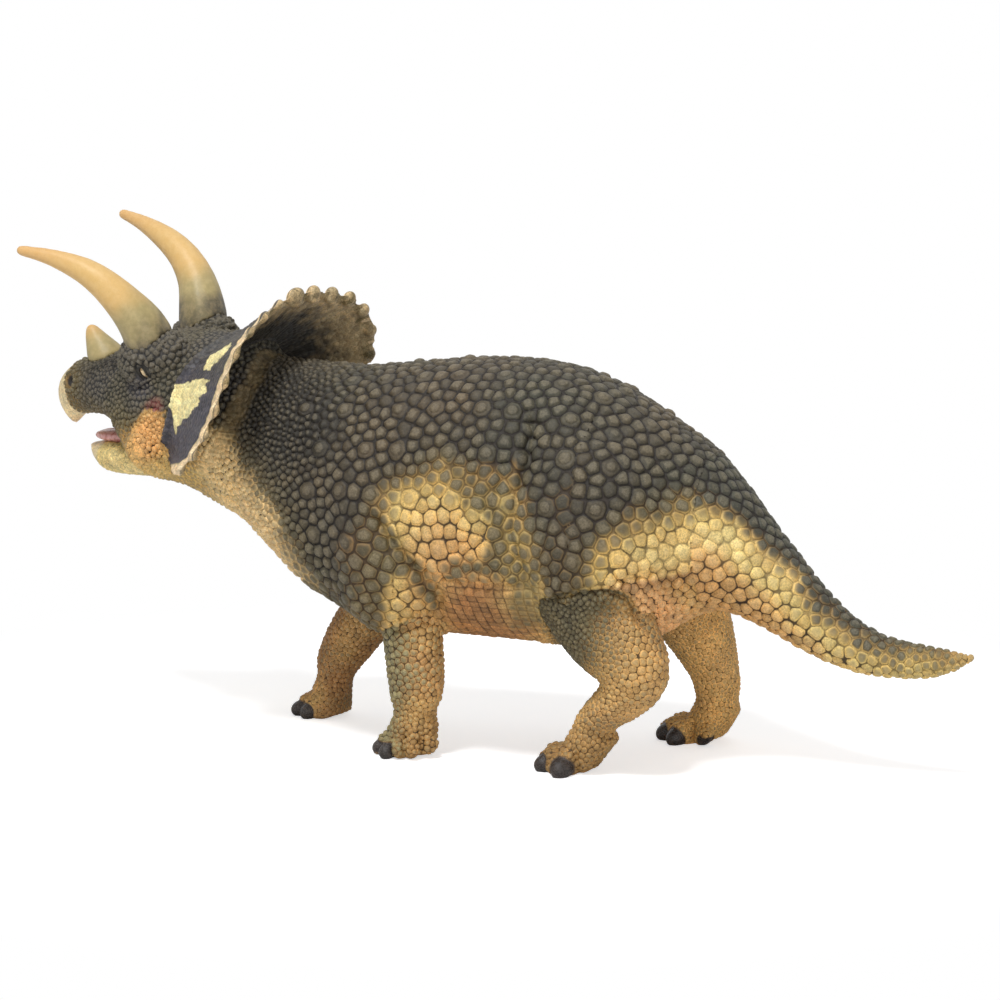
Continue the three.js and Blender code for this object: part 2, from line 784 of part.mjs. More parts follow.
// Middle line and half width: ahead, out and up as shares of the horn's length from its base
// centre, then a share of its width
const browHornShares = [
  [-0.01, -0.04, -0.12, 0.48],
  [0, 0, 0, 0.48],
  [0.03, 0.035, 0.11, 0.44],
  [0.09, 0.087, 0.224, 0.37],
  [0.195, 0.13, 0.345, 0.305],
  [0.335, 0.16, 0.44, 0.245],
  [0.525, 0.205, 0.513, 0.16],
  [0.66, 0.24, 0.545, 0.115],
  [0.725, 0.257, 0.557, 0.095],
  [0.745, 0.262, 0.56, 0.05],
];
const noseHornShares = [
  [-0.1, 0, -0.25, 0.5],
  [0, 0, 0, 0.5],
  [0.16, 0, 0.28, 0.38],
  [0.32, 0, 0.56, 0.25],
  [0.42, 0, 0.78, 0.15],
  [0.45, 0, 0.88, 0.07],
];
const browHornBaseShares = [0.351, 0.309, 0.462]; // in the skull's shares
const noseHornBaseShares = [0.75, 0, 0.235];
const browHornBase = (side) => inHead(browHornBaseShares, side);
const noseHornBase = inHead(noseHornBaseShares);

function horn(base, side, length, width, shares) {
  const cone = tapered(
    smoothed(shares, 2).map(([forward, out, rise, half]) => [
      base.clone().add(at(forward * length, side * out * length, rise * length)),
      half * width,
      half * width,
    ]),
    hornSides,
  );
  return cone.subtract(skullClear);
}

function browHorn(side, length) {
  const base = browHornBase(side);
  return horn(base, side, length, browHornWidth, browHornShares).add(
    plug(base, down, hornPegRadius, hornPegLength),
  );
}

function noseHorn() {
  return horn(noseHornBase, 1, noseHornLength, noseHornWidth, noseHornShares).add(
    plug(noseHornBase, down, noseHornPegRadius, noseHornPegLength),
  );
}

// Mouth

// Rings of the lower jaw, in the same shares as the skull's
const jawShares = [
  [0.46, -0.28, 0.44, -0.54, 0.29],
  [0.57, -0.29, 0.56, -0.55, 0.255],
  [0.68, -0.31, 0.68, -0.555, 0.215],
  [0.77, -0.335, 0.77, -0.54, 0.16],
  [0.835, -0.355, 0.825, -0.485, 0.1],
  [0.875, -0.365, 0.855, -0.42, 0.035],
];
const jawWidestShare = 0.6;
const mouthFloorShares = { place: [0.62, 0, -0.265], radii: [0.2, 0.15, 0.1] };
const jawKeyPlace = inHead([0.51, 0, -0.42]);
const tonguePlace = inHead([0.7, 0, -0.3]);

function jaw(grow) {
  const { place, radii } = mouthFloorShares;
  const floor = ball(inHead(place), ahead, [
    radii[0] * headLength - grow,
    radii[1] * headWidth - grow,
    radii[2] * headHeight - grow,
  ]);
  return headLoft(jawShares, grow, jawWidestShare, 1).subtract(floor);
}

function lowerJaw() {
  const keyed = jaw(0)
    .subtract(skullClear)
    .add(key(jawKeyPlace, [jawKeyLength, jawKeyWidth, jawKeyHeight], 0));
  return keyed.subtract(socket(tonguePlace, down, tonguePegRadius, tonguePegLength));
}

function tongue() {
  const blade = ball(tonguePlace, ahead, [tongueLength / 2, tongueWidth / 2, tongueThickness / 2]);
  const trimmed = without(blade, [jaw(fitGap), skullClear]);
  return trimmed.add(pin(tonguePlace, down, tonguePegRadius, tonguePegLength));
}

function headCasting() {
  const seat = neckSeat.clone().applyMatrix4(toHead);
  const inward = back.clone().transformDirection(toHead);
  const neckSide = beyond(seat.clone().addScaledVector(inward, -fitGap), inward);
  const neckPlug = plug(seat, inward, neckPlugRadius, neckPlugLength);
  const sockets = [
    ...[1, -1].map((side) => socket(browHornBase(side), down, hornPegRadius, hornPegLength)),
    socket(noseHornBase, down, noseHornPegRadius, noseHornPegLength),
    key(frillKeyPlace, [frillKeyLength, frillKeyWidth, frillKeyHeight], fitGap),
    key(jawKeyPlace, [jawKeyLength, jawKeyWidth, jawKeyHeight], fitGap),
  ];
  return without(without(skull(0), [neckSide]).add(neckPlug), sockets);
}

// The assembled figure

function piece(name, body, material) {
  const mesh = new THREE.Mesh(geometryOf(body), material);
  mesh.name = name;
  return mesh;
}

const figure = new THREE.Group();
figure.add(piece("body_casting", bodyCasting(), skinGreen));
limbs.forEach((each) => figure.add(piece(each.name, legCasting(each), skinTan)));
figure.add(piece("tail", tailCasting(), skinGreen));
figure.add(headFrame);
headFrame.add(piece("head_casting", headCasting(), skinSlate));
headFrame.add(piece("frill", frillCasting(), skinSlate));
headFrame.add(piece("left_brow_horn", browHorn(1, leftBrowHornLength), hornCream));
headFrame.add(piece("right_brow_horn", browHorn(-1, rightBrowHornLength), hornCream));
headFrame.add(piece("nose_horn", noseHorn(), hornCream));
headFrame.add(piece("lower_jaw", lowerJaw(), skinTan));
headFrame.add(piece("tongue", tongue(), tonguePink));

// The origin lies on the ground, under the middle of the figure's outline
const part = new THREE.Group();
part.add(figure);
const middle = new THREE.Box3().setFromObject(part, true).getCenter(new THREE.Vector3());
figure.position.set(-middle.x, -middle.y, 0);

export default part;
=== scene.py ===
import math
from itertools import product

import bpy
import numpy as np
from mathutils import Matrix, Vector
from mathutils.bvhtree import BVHTree
from mathutils.kdtree import KDTree


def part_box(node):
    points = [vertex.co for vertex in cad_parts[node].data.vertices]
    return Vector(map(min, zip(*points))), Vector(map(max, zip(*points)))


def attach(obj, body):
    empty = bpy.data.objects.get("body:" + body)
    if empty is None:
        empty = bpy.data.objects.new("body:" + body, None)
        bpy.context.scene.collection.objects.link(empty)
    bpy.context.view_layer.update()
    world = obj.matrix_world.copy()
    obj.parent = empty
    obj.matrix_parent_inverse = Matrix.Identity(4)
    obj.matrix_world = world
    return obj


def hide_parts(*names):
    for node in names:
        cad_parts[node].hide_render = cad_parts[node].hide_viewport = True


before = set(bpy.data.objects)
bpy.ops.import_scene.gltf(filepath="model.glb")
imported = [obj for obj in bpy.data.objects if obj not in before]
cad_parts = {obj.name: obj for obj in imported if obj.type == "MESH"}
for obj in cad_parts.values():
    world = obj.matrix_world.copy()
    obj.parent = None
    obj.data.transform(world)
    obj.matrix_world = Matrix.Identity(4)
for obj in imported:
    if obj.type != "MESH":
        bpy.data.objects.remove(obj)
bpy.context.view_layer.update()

# Shapes are worked out in millimetres and turned into metres when a piece is finished.
MM = 0.001
random = np.random.default_rng(7)

# The figure's own places

trunk_low, trunk_high = (np.array(corner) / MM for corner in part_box("body_casting"))
MIDDLE_X = (trunk_low[0] + trunk_high[0]) / 2
MIDDLE_Y = (trunk_low[1] + trunk_high[1]) / 2
NECK_SEAM = trunk_low[0]
TAIL_SEAM = trunk_high[0]

HEAD_YAW = math.radians(10)  # to the figure's right
HEAD_ROLL = math.radians(6)
NECK_REACH = 6.0  # neck seam forward to the head's own origin
NECK_JOINT_HEIGHT = 74.04
head_origin = np.array([NECK_SEAM - NECK_REACH, MIDDLE_Y, NECK_JOINT_HEIGHT])
head_turn = np.array(
    Matrix.Rotation(-HEAD_YAW, 3, "Z") @ Matrix.Rotation(HEAD_ROLL, 3, "X")
)

# Camera, where the photograph was taken from

CAMERA_AZIMUTH = math.radians(22)
CAMERA_ELEVATION = math.radians(9)
CAMERA_DISTANCE = 800.0
CAMERA_LENS = 129.6
SENSOR_WIDTH = 36.0
PHOTO_SIZE = 1000
CAMERA_AHEAD = 3.0  # target behind the trunk's middle
CAMERA_HEIGHT = 55.5

target = np.array([MIDDLE_X + CAMERA_AHEAD, MIDDLE_Y, CAMERA_HEIGHT])
towards_camera = np.array([
    math.sin(CAMERA_AZIMUTH) * math.cos(CAMERA_ELEVATION),
    -math.cos(CAMERA_AZIMUTH) * math.cos(CAMERA_ELEVATION),
    math.sin(CAMERA_ELEVATION),
])
camera_place = target + CAMERA_DISTANCE * towards_camera
camera_right = np.array([math.cos(CAMERA_AZIMUTH), math.sin(CAMERA_AZIMUTH), 0])
camera_up = np.cross(towards_camera, camera_right)


def add_camera():
    data = bpy.data.cameras.new("camera")
    data.lens = CAMERA_LENS
    data.sensor_width = SENSOR_WIDTH
    data.clip_end = 20
    camera = bpy.data.objects.new("camera", data)
    camera.location = Vector(camera_place * MM)
    camera.rotation_euler = Vector(towards_camera).to_track_quat("Z", "Y").to_euler()
    bpy.context.collection.objects.link(camera)
    bpy.context.scene.camera = camera


def pixels(points):
    """Where points fall in the photograph's frame, as columns and rows."""
    offset = points - camera_place
    depth = -offset @ towards_camera
    focal = CAMERA_LENS / SENSOR_WIDTH * PHOTO_SIZE
    across = PHOTO_SIZE / 2 + focal * (offset @ camera_right) / depth
    down = PHOTO_SIZE / 2 - focal * (offset @ camera_up) / depth
    return np.stack([across, down], axis=1)


def in_head(points):
    """Points in the head's own frame: ahead, to its left, and up."""
    local = (points - head_origin) @ head_turn
    return local * [-1, -1, 1]


def from_head(places):
    return (np.asarray(places, float) * [-1, -1, 1]) @ head_turn.T + head_origin


# Helpers for arrays

def step(low, high, value):
    share = np.clip((value - low) / (high - low), 0, 1)
    return share * share * (3 - 2 * share)


def bell(distance, width):
    return np.exp(-((distance / width) ** 2))


LATTICE_SIZE = 65536
LATTICE_PRIMES = np.array([73856093, 19349663, 83492791])
NOISE_SHIFT = 500  # keeps every cell on the positive side
SEED_SHIFT = 31
lattice_values = random.random(LATTICE_SIZE)


def lattice_value(key):
    return lattice_values[key & (LATTICE_SIZE - 1)]


def noise(points, size, seed=0):
    """Smooth noise from 0 to 1 with lumps of a given size."""
    cell = points / size + NOISE_SHIFT + SEED_SHIFT * seed
    base = np.floor(cell).astype(np.int64)
    share = cell - base
    share = share * share * (3 - 2 * share)
    total = np.zeros(len(points))
    for corner in product((0, 1), repeat=3):
        first, second, third = ((base + corner) * LATTICE_PRIMES).T
        weight = np.prod(np.where(corner, share, 1 - share), axis=1)
        total += weight * lattice_value(first ^ second ^ third)
    return total


def unit(ways):
    """Directions, one to a row, brought to a length of 1."""
    return ways / np.linalg.norm(ways, axis=1)[:, None]


def away_from(place, points):
    return np.linalg.norm(points - place, axis=1)


def from_line(places, line):
    """The distance from each place to a line of points, and how far along the line it lies."""
    line = np.asarray(line, float)
    best = np.full(len(places), np.inf)
    along = np.zeros(len(places))
    count = len(line) - 1
    for i in range(count):
        start, side = line[i], line[i + 1] - line[i]
        share = np.clip((places - start) @ side / (side @ side), 0, 1)
        gap = np.linalg.norm(places - start - share[:, None] * side, axis=1)
        nearer = gap < best
        best[nearer] = gap[nearer]
        along[nearer] = (i + share[nearer]) / count
    return best, along


def inside(places, outline):
    """How far inside a closed outline each place lies, negative outside it."""
    corners = np.array(outline, float)
    crossings = np.zeros(len(places), int)
    for start, end in zip(corners, np.roll(corners, -1, axis=0)):
        spans = (start[1] > places[:, 1]) != (end[1] > places[:, 1])
        rise = end[1] - start[1] or 1
        across = start[0] + (places[:, 1] - start[1]) / rise * (end[0] - start[0])
        crossings += spans & (places[:, 0] < across)
    gap, _ = from_line(places, np.vstack([corners, corners[:1]]))
    return np.where(crossings % 2 == 1, gap, -gap)


def patch(seen, oval):
    """1 inside a turned oval in the photograph's frame, fading over its soft share."""
    middle, reach, turn, soft = oval
    offset = seen - middle
    angle = math.radians(turn)
    along = offset @ [math.cos(angle), math.sin(angle)]
    aside = offset @ [-math.sin(angle), math.cos(angle)]
    return step(1 + soft, 1 - soft, np.hypot(along / reach[0], aside / reach[1]))


def colour(code):
    """A linear colour from its usual six digits."""
    channels = np.array([int(code[i:i + 2], 16) / 255 for i in (0, 2, 4)])
    return np.where(channels <= 0.04045, channels / 12.92, ((channels + 0.055) / 1.055) ** 2.4)


def mixed(base, tint, share):
    return base + (np.asarray(tint) - base) * np.clip(share, 0, 1)[:, None]


# The whole skin, before it is parted into castings

SKIN_NODES = [
    "body_casting", "left_foreleg", "right_foreleg", "left_hind_leg", "right_hind_leg",
    "tail", "head_casting", "frill", "lower_jaw",
]
BODY, LEFT_FORE, RIGHT_FORE, LEFT_HIND, RIGHT_HIND, TAIL, HEAD, FRILL, JAW = range(9)
LEGS = (LEFT_FORE, RIGHT_FORE, LEFT_HIND, RIGHT_HIND)
VOXEL = 0.5
SWELL = 0.25  # closes the gaps between the castings while they are joined
MERGE_GAP = 0.001
OWNER_ROUNDS = 12  # that smooth the lines between the castings


def deselect():
    bpy.ops.object.select_all(action="DESELECT")


def activate(piece):
    deselect()
    piece.select_set(True)
    bpy.context.view_layer.objects.active = piece


def edit(piece, *steps):
    """Runs some steps on a piece in edit mode."""
    activate(piece)
    bpy.ops.object.mode_set(mode="EDIT")
    for operator, settings in steps:
        operator(**settings)
    bpy.ops.object.mode_set(mode="OBJECT")


SELECT_ALL = (bpy.ops.mesh.select_all, {"action": "SELECT"})
SELECT_NONE = (bpy.ops.mesh.select_all, {"action": "DESELECT"})
BY_EDGES = (bpy.ops.mesh.select_mode, {"type": "EDGE"})


def cad_copy(name, swell=0.0):
    """A merged copy of a CAD node in millimetres, swollen a little along its normals."""
    piece = bpy.data.objects.new(f"{name}_form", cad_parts[name].data.copy())
    bpy.context.collection.objects.link(piece)
    piece.data.transform(Matrix.Scale(1 / MM, 4))
    edit(piece, SELECT_ALL, (bpy.ops.mesh.remove_doubles, {"threshold": MERGE_GAP}))
    if swell:
        points, normals = places_of(piece), normals_of(piece)
        set_places(piece, points + swell * normals)
    return piece


def surface_of(node):
    """A search tree of a CAD node's faces, in millimetres."""
    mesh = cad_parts[node].data
    corners = [tuple(v.co / MM) for v in mesh.vertices]
    return BVHTree.FromPolygons(corners, [tuple(p.vertices) for p in mesh.polygons])


def places_of(piece):
    places = np.empty(len(piece.data.vertices) * 3, np.float32)
    piece.data.vertices.foreach_get("co", places)
    return places.reshape(-1, 3).astype(float)


def normals_of(piece):
    normals = np.empty(len(piece.data.vertices) * 3, np.float32)
    piece.data.vertex_normals.foreach_get("vector", normals)
    return normals.reshape(-1, 3).astype(float)


def set_places(piece, points):
    piece.data.vertices.foreach_set("co", points.astype(np.float32).ravel())
    piece.data.update()


def edges_of(piece):
    edges = np.empty(len(piece.data.edges) * 2, np.int32)
    piece.data.edges.foreach_get("vertices", edges)
    return edges.reshape(-1, 2)


def remesh(piece, size):
    activate(piece)
    modifier = piece.modifiers.new("remesh", "REMESH")
    modifier.mode = "VOXEL"
    modifier.voxel_size = size
    modifier.adaptivity = 0
    bpy.ops.object.modifier_apply(modifier=modifier.name)


def keep_largest(piece):
    """Deletes the loose shells that are left inside the joints."""
    edit(piece, SELECT_ALL, (bpy.ops.mesh.separate, {"type": "LOOSE"}))
    parts = sorted(bpy.context.selected_objects, key=lambda part: len(part.data.vertices))
    for part in parts[:-1]:
        bpy.data.objects.remove(part)
    return parts[-1]


def relaxed(points, edges, strength, rounds):
    """Points drawn towards the middle of their neighbours."""
    first, second = edges.T
    count = len(points)
    neighbours = np.bincount(first, minlength=count) + np.bincount(second, minlength=count)
    points = points.copy()
    for _ in range(rounds):
        for axis in range(3):
            line = points[:, axis]
            total = np.bincount(first, line[second], count)
            total += np.bincount(second, line[first], count)
            points[:, axis] = line + strength * (total / neighbours - line)
    return points


def nearest_node(points, edges):
    """Which casting each point of the skin belongs to, with a smooth line between two of them."""
    corners, faces, owners = [], [], []
    start = 0
    for index, name in enumerate(SKIN_NODES):
        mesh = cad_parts[name].data
        place = np.empty(len(mesh.vertices) * 3, np.float32)
        mesh.vertices.foreach_get("co", place)
        place = place.reshape(-1, 3) / MM
        corners.extend(place.tolist())
        faces.extend([start + v for v in polygon.vertices] for polygon in mesh.polygons)
        owners.extend([index] * len(mesh.polygons))
        start += len(place)
    tree = BVHTree.FromPolygons(corners, faces)
    owner = np.array([owners[tree.find_nearest(point)[2]] for point in points.tolist()])
    share = np.eye(len(SKIN_NODES))[owner]
    first, second = edges.T
    for _ in range(OWNER_ROUNDS):
        for column in range(share.shape[1]):
            line = share[:, column]
            if line.any():
                total = np.bincount(first, line[second], len(points))
                total += np.bincount(second, line[first], len(points))
                share[:, column] = 0.5 * line + 0.125 * total
    return share.argmax(axis=1)


def ball(middle, axes, radii):
    """An ellipsoid with its three directions as rows."""
    bpy.ops.mesh.primitive_uv_sphere_add(segments=24, ring_count=16)
    piece = bpy.context.active_object
    turn = Matrix(np.transpose(axes).tolist()).to_4x4()
    place = Matrix.Translation(Vector(middle))
    piece.data.transform(place @ turn @ Matrix.Diagonal((*radii, 1)))
    return piece


def joined_skin():
    """One closed skin over all the skin castings, with their toes and claws."""
    copies = [cad_copy(name, SWELL) for name in SKIN_NODES]
    for label in LEGS:
        for middle, axes, radii in [*toes(label), *claws(label)]:
            copies.append(ball(middle, axes, np.add(radii, SWELL)))
    for middle, axes, radii in knobs():
        copies.append(ball(middle, axes, np.add(radii, SWELL)))
    deselect()
    for copy in copies:
        copy.select_set(True)
    bpy.context.view_layer.objects.active = copies[0]
    bpy.ops.object.join()
    skin = copies[0]
    remesh(skin, VOXEL)
    skin = keep_largest(skin)
    set_places(skin, places_of(skin) - SWELL * normals_of(skin))
    return skin


# Folds of the skin

# Creases along the near side, as pixels of the photograph's frame, then their half width in pixels
# and their depth in millimetres. The far side mirrors them.
THIGH_FRONT = [(524, 402), (531, 428), (526, 460), (512, 500), (508, 535), (520, 575), (538, 606)]
FLANK_FOLD = [(505, 445), (500, 480), (486, 520), (480, 548)]
FLANK_FOLD_AHEAD = [(476, 468), (470, 492), (458, 520)]
ARM_REAR = [(366, 505), (388, 538), (412, 566), (436, 592), (441, 622)]
BELLY_FOLD = [(412, 568), (440, 576), (475, 583), (512, 585), (538, 596)]
THIGH_FOLD = [(538, 602), (567, 594), (607, 589), (627, 597), (637, 622), (652, 637)]
THIGH_NOTCH = [(615, 583), (632, 578), (662, 566)]
CHEST_FOLD = [(310, 588), (340, 610), (374, 633)]
SHOULDER_FOLD = [(386, 631), (405, 628), (434, 618)]
NECK_FOLD = [(232, 452), (262, 486), (290, 528)]
CREASES = [
    (THIGH_FRONT, 15.0, 1.5),
    (THIGH_FRONT, 5.0, 0.9),
    (FLANK_FOLD, 7.0, 0.9),
    (FLANK_FOLD_AHEAD, 6.0, 0.7),
    (ARM_REAR, 13.0, 1.3),
    (ARM_REAR, 5.0, 1.2),
    (BELLY_FOLD, 4.0, 1.0),
    (THIGH_FOLD, 4.0, 1.3),
    (THIGH_NOTCH, 4.0, 1.2),
    (CHEST_FOLD, 5.0, 0.9),
    (SHOULDER_FOLD, 4.0, 0.9),
    (NECK_FOLD, 6.0, 0.6),
]
FOLD_TURNS_AWAY = (-0.35, 0.15)  # over which a fold dies out as the skin turns to the middle
FOLD_END = 0.15  # share of a crease's length over which it starts
FOLD_FADE = 0.8  # and from which it dies out
BULGE = 0.35  # of the crease's depth
BULGE_GAP = 2.2  # in widths of the crease
BULGE_WIDTH = 1.3


def near_side(points):
    """Points mirrored on to the figure's left side."""
    places = points.copy()
    places[:, 1] = MIDDLE_Y - np.abs(places[:, 1] - MIDDLE_Y)
    return places


def face_places(points):
    """Points in the head's frame, those of its right side mirrored on to its left."""
    places = in_head(points)
    places[:, 1] = np.abs(places[:, 1])
    return places


def seen_at(points, owner):
    """The pixel of each point's mirrored place. Legs keep their own side."""
    on_head = np.isin(owner, (HEAD, FRILL, JAW))
    on_leg = np.isin(owner, LEGS)
    places = np.where(on_head[:, None], from_head(face_places(points)), near_side(points))
    places = np.where(on_leg[:, None], points, places)
    return pixels(places)


def fold_skin(points, normals, owner, seen):
    """How far the creases sink each point, with a soft bulge beside each."""
    depth = np.zeros(len(points))
    outward = np.where(points[:, 1] > MIDDLE_Y, normals[:, 1], -normals[:, 1])
    facing = step(*FOLD_TURNS_AWAY, outward)
    smooth = np.isin(owner, (RIGHT_FORE, RIGHT_HIND, FRILL, JAW))
    for line, width, deep in CREASES:
        gap, along = from_line(seen, line)
        ends = step(0, FOLD_END, along) * step(1, FOLD_FADE, along)
        shape = bell(gap, width) - BULGE * bell(gap - BULGE_GAP * width, BULGE_WIDTH * width)
        depth -= deep * ends * shape * facing * ~smooth
    return depth


# Head landmarks, in the head's own frame: ahead, to its side, and up

head_tree = surface_of("head_casting")


def on_head(place):
    """The nearest place on the head casting to a place given in the head's frame."""
    return in_head(np.array(head_tree.find_nearest(from_head(place))[0]))


EYE = on_head((17.8, 14.2, 9.4))
NOSTRIL = on_head((46.0, 5.6, 3.4))
CHEEK_BOSS = on_head((18.0, 17.5, -8.0))
HORN_FOOT = (18.6, 10.2, 15.7)
EYE_SLANT = (-0.42, -0.91)  # the slit runs to the rear and down
EYE_SIZE = (1.1, 0.45)
HORN_COLLAR = 6.3  # from the foot's middle to the first ridge
# Rings round the eye's slit and round a horn's foot: distance, width and height
LIDS = [(1.05, 0.2, -0.45), (1.55, 0.35, 0.5), (2.3, 0.3, -0.25), (3.0, 0.4, 0.25)]
COLLARS = [(0, 0.5, 0.32), (1.6, 0.5, 0.26), (3.2, 0.6, 0.2)]
# Broad swellings of the face: middle, radius and height
FACE_SWELLINGS = [
    ((20.5, 13.6, 12.8), 3.2, 0.8),  # brow over the eye
    (EYE, 3.0, -0.7),
    (NOSTRIL, 2.6, 0.35),
    (CHEEK_BOSS, 2.0, 0.8),
    ((24.5, 13.5, -3.0), 3.0, 0.5),
    ((30.0, 11.0, 2.0), 4.0, -0.3),
]


def swelling(places, centre, radius, height):
    return height * bell(away_from(centre, places), radius)


def shape_head(points, owner):
    """How far the face's broad features raise or sink each point."""
    places = face_places(points)
    rise = np.zeros(len(points))
    for centre, radius, height in FACE_SWELLINGS:
        rise += swelling(places, centre, radius, height)
    return rise * np.isin(owner, (HEAD, JAW))


def rings(gap, profile):
    return sum(height * bell(gap - distance, width) for distance, width, height in profile)


def eye_gap(places):
    """The distance from the middle of the slanted eye as a share of its size."""
    ahead, _, up = (places - EYE).T
    along = EYE_SLANT[0] * ahead + EYE_SLANT[1] * up
    aside = EYE_SLANT[1] * ahead - EYE_SLANT[0] * up
    return np.hypot(along / EYE_SIZE[0], aside / EYE_SIZE[1])


def face_details(points):
    """The eye with its lids, the nostril, the horns' collars and the wrinkles of the face."""
    places = face_places(points)
    near_eye = bell(away_from(EYE, places), 4.5)
    gap = eye_gap(places)
    ball_rise = 0.35 * np.clip(1 - gap**2, 0, 1)
    rise = near_eye * (ball_rise + rings(gap, LIDS))
    rise += swelling(places, NOSTRIL, 0.95, -1.3)
    rise += 0.22 * bell(away_from(NOSTRIL, places) - 1.9, 0.5)
    collar = away_from(HORN_FOOT, places) - HORN_COLLAR
    rise += rings(collar, COLLARS) * (0.6 + 0.8 * noise(places, 2.2, 33))
    folds = noise(places * (1, 1, 1.8), 2.4, 34)
    dark_face = step(48, 40, places[:, 0]) * step(2, 8, places[:, 0]) * step(-3, 1, places[:, 2])
    rise += 0.3 * (1 - np.abs(2 * folds - 1)) * dark_face
    return rise


# Feet. Each stands ahead of and beside the trunk's middle and points outwards by some degrees.
# Each toe has its way in degrees, its reach and the size of its claw.
LEFT_FORE_TOES = [
    (-34, 0.95, 0.85), (8, 0.9, 0.85), (50, 0.94, 0.85), (74, 0.92, 0), (104, 0.88, 0), (146, 0.95, 0),
]
RIGHT_FORE_TOES = [(-62, 0.8, 0.9), (-26, 0.95, 0.9), (10, 1.0, 0.9), (48, 0.9, 0), (88, 0.8, 0)]
LEFT_HIND_TOES = [(-48, 0.86, 1), (-15, 1.0, 1), (22, 1.0, 1), (67, 0.95, 1.1)]
RIGHT_HIND_TOES = [(-118, 0.8, 0.9), (-60, 0.93, 1), (-22, 1.0, 1), (17, 1.0, 1), (50, 0.88, 1)]
FEET = {
    LEFT_FORE: ((-11.98, -16.5), -1, 14, 8.0, LEFT_FORE_TOES),
    RIGHT_FORE: ((-45.26, 13.02), 1, 4, 8.0, RIGHT_FORE_TOES),
    LEFT_HIND: ((29.04, -16.5), -1, 8, 9.6, LEFT_HIND_TOES),
    RIGHT_HIND: ((43.99, 21.0), 1, 4, 9.6, RIGHT_HIND_TOES),
}
HEEL_LIFT = {LEFT_FORE: 1.4, RIGHT_FORE: 2.4, LEFT_HIND: 3.0, RIGHT_HIND: 3.0}
TOE_REACH = 0.58  # of the toe's own reach
TOE_HEIGHT = 2.4
TOE_RADII = (0.44, 0.27, 0.32)  # of the foot's size
CLAW_REACH = 0.84
CLAW_HEIGHT = 1.6
CLAW_RADII = (2.7, 1.95, 2.2)
CLAW_SLOPE = 0.3
TOE_SLOPE = 0.15
TOE_CREASE = 1.25
TOE_CREASE_WIDTH = 0.7
ANKLE_HEIGHT = 9.5
ANKLE_WAIST = 0.7
ANKLE_WIDTH = 2.6


def foot_middle(label):
    x, y = FEET[label][0]
    return np.array([x + MIDDLE_X, y + MIDDLE_Y, 0])


def toe_ways(label):
    """The way that each toe points, its reach in millimetres and the size of its claw."""
    _, side, heading, size, rows = FEET[label]
    for degrees, reach, clawed in rows:
        angle = math.radians(degrees + heading)
        yield np.array([-math.cos(angle), side * math.sin(angle), 0]), reach * size, clawed


def directions(forward, slope):
    """Ahead, aside and up for something that points forwards and slopes down."""
    forward = forward - np.array([0, 0, slope])
    forward /= np.linalg.norm(forward)
    aside = np.cross([0, 0, 1], forward)
    aside /= np.linalg.norm(aside)
    return np.stack([forward, aside, np.cross(forward, aside)])


def toes(label):
    size = FEET[label][3]
    for forward, reach, _ in toe_ways(label):
        middle = foot_middle(label) + forward * TOE_REACH * reach + np.array([0, 0, TOE_HEIGHT])
        yield middle, directions(forward, TOE_SLOPE), np.multiply(TOE_RADII, size)


def claws(label):
    for forward, reach, clawed in toe_ways(label):
        if clawed:
            middle = foot_middle(label) + forward * CLAW_REACH * reach + np.array([0, 0, CLAW_HEIGHT])
            yield middle, directions(forward, CLAW_SLOPE), clawed * np.array(CLAW_RADII)


def ball_gap(points, middle, axes, radii):
    """The distance from a ball's middle as a share of its radii."""
    return np.linalg.norm((points - middle) @ axes.T / radii, axis=1)


def claw_share(points, owner):
    """1 on the claws."""
    share = np.zeros(len(points))
    for label in LEGS:
        here = owner == label
        if here.any():
            for claw in claws(label):
                share[here] = np.maximum(share[here], step(1.2, 1.08, ball_gap(points[here], *claw)))
    return share


def drawn_to_ball(points, near, ball_shape, soft):
    """Points near a ball drawn on to its surface."""
    middle = ball_shape[0]
    gap = ball_gap(points[near], *ball_shape)
    smooth = middle + (points[near] - middle) / np.maximum(gap, 0.2)[:, None]
    points[near] += step(1 + soft, 1.05, gap)[:, None] * (smooth - points[near])


def shape_feet(points, owner):
    """Parts the toes with creases, and draws points near a claw on to its smooth horn."""
    points = points.copy()
    for label in LEGS:
        here = np.flatnonzero(owner == label)
        offset = points[here] - foot_middle(label)
        away = np.hypot(offset[:, 0], offset[:, 1])
        low = step(7.5, 4, offset[:, 2]) * step(2, 4, away)
        outward = offset / np.maximum(away, 0.1)[:, None] * [1, 1, 0]
        ways = [way for way, _, _ in toe_ways(label)]
        sums = [first + second for first, second in zip(ways, ways[1:])]
        between = [way / np.linalg.norm(way) for way in sums]
        between.append(2 * (ways[-1] @ between[-1]) * ways[-1] - between[-1])
        for way in between:
            aside = np.abs(outward @ np.array([-way[1], way[0], 0])) * away
            facing = outward @ way > 0
            crease = TOE_CREASE * low * facing * bell(aside, TOE_CREASE_WIDTH)
            points[here] -= crease[:, None] * outward
        ankle = ANKLE_WAIST * bell(offset[:, 2] - ANKLE_HEIGHT, ANKLE_WIDTH)
        points[here] -= ankle[:, None] * outward
        for claw in claws(label):
            near = (owner == label) & (away_from(claw[0], points) < 6)
            drawn_to_ball(points, near, claw, 0.3)
        _, side, heading, _, _ = FEET[label]
        turn = math.radians(heading)
        heel_way = np.array([math.cos(turn), -side * math.sin(turn), 0])
        behind = (points[here] - foot_middle(label)) @ heel_way
        points[here, 2] += HEEL_LIFT[label] * step(0.5, 8, behind) * step(10, 1, points[here, 2])
        points[here, 2] = np.maximum(points[here, 2], 0)
    return points


# Scales

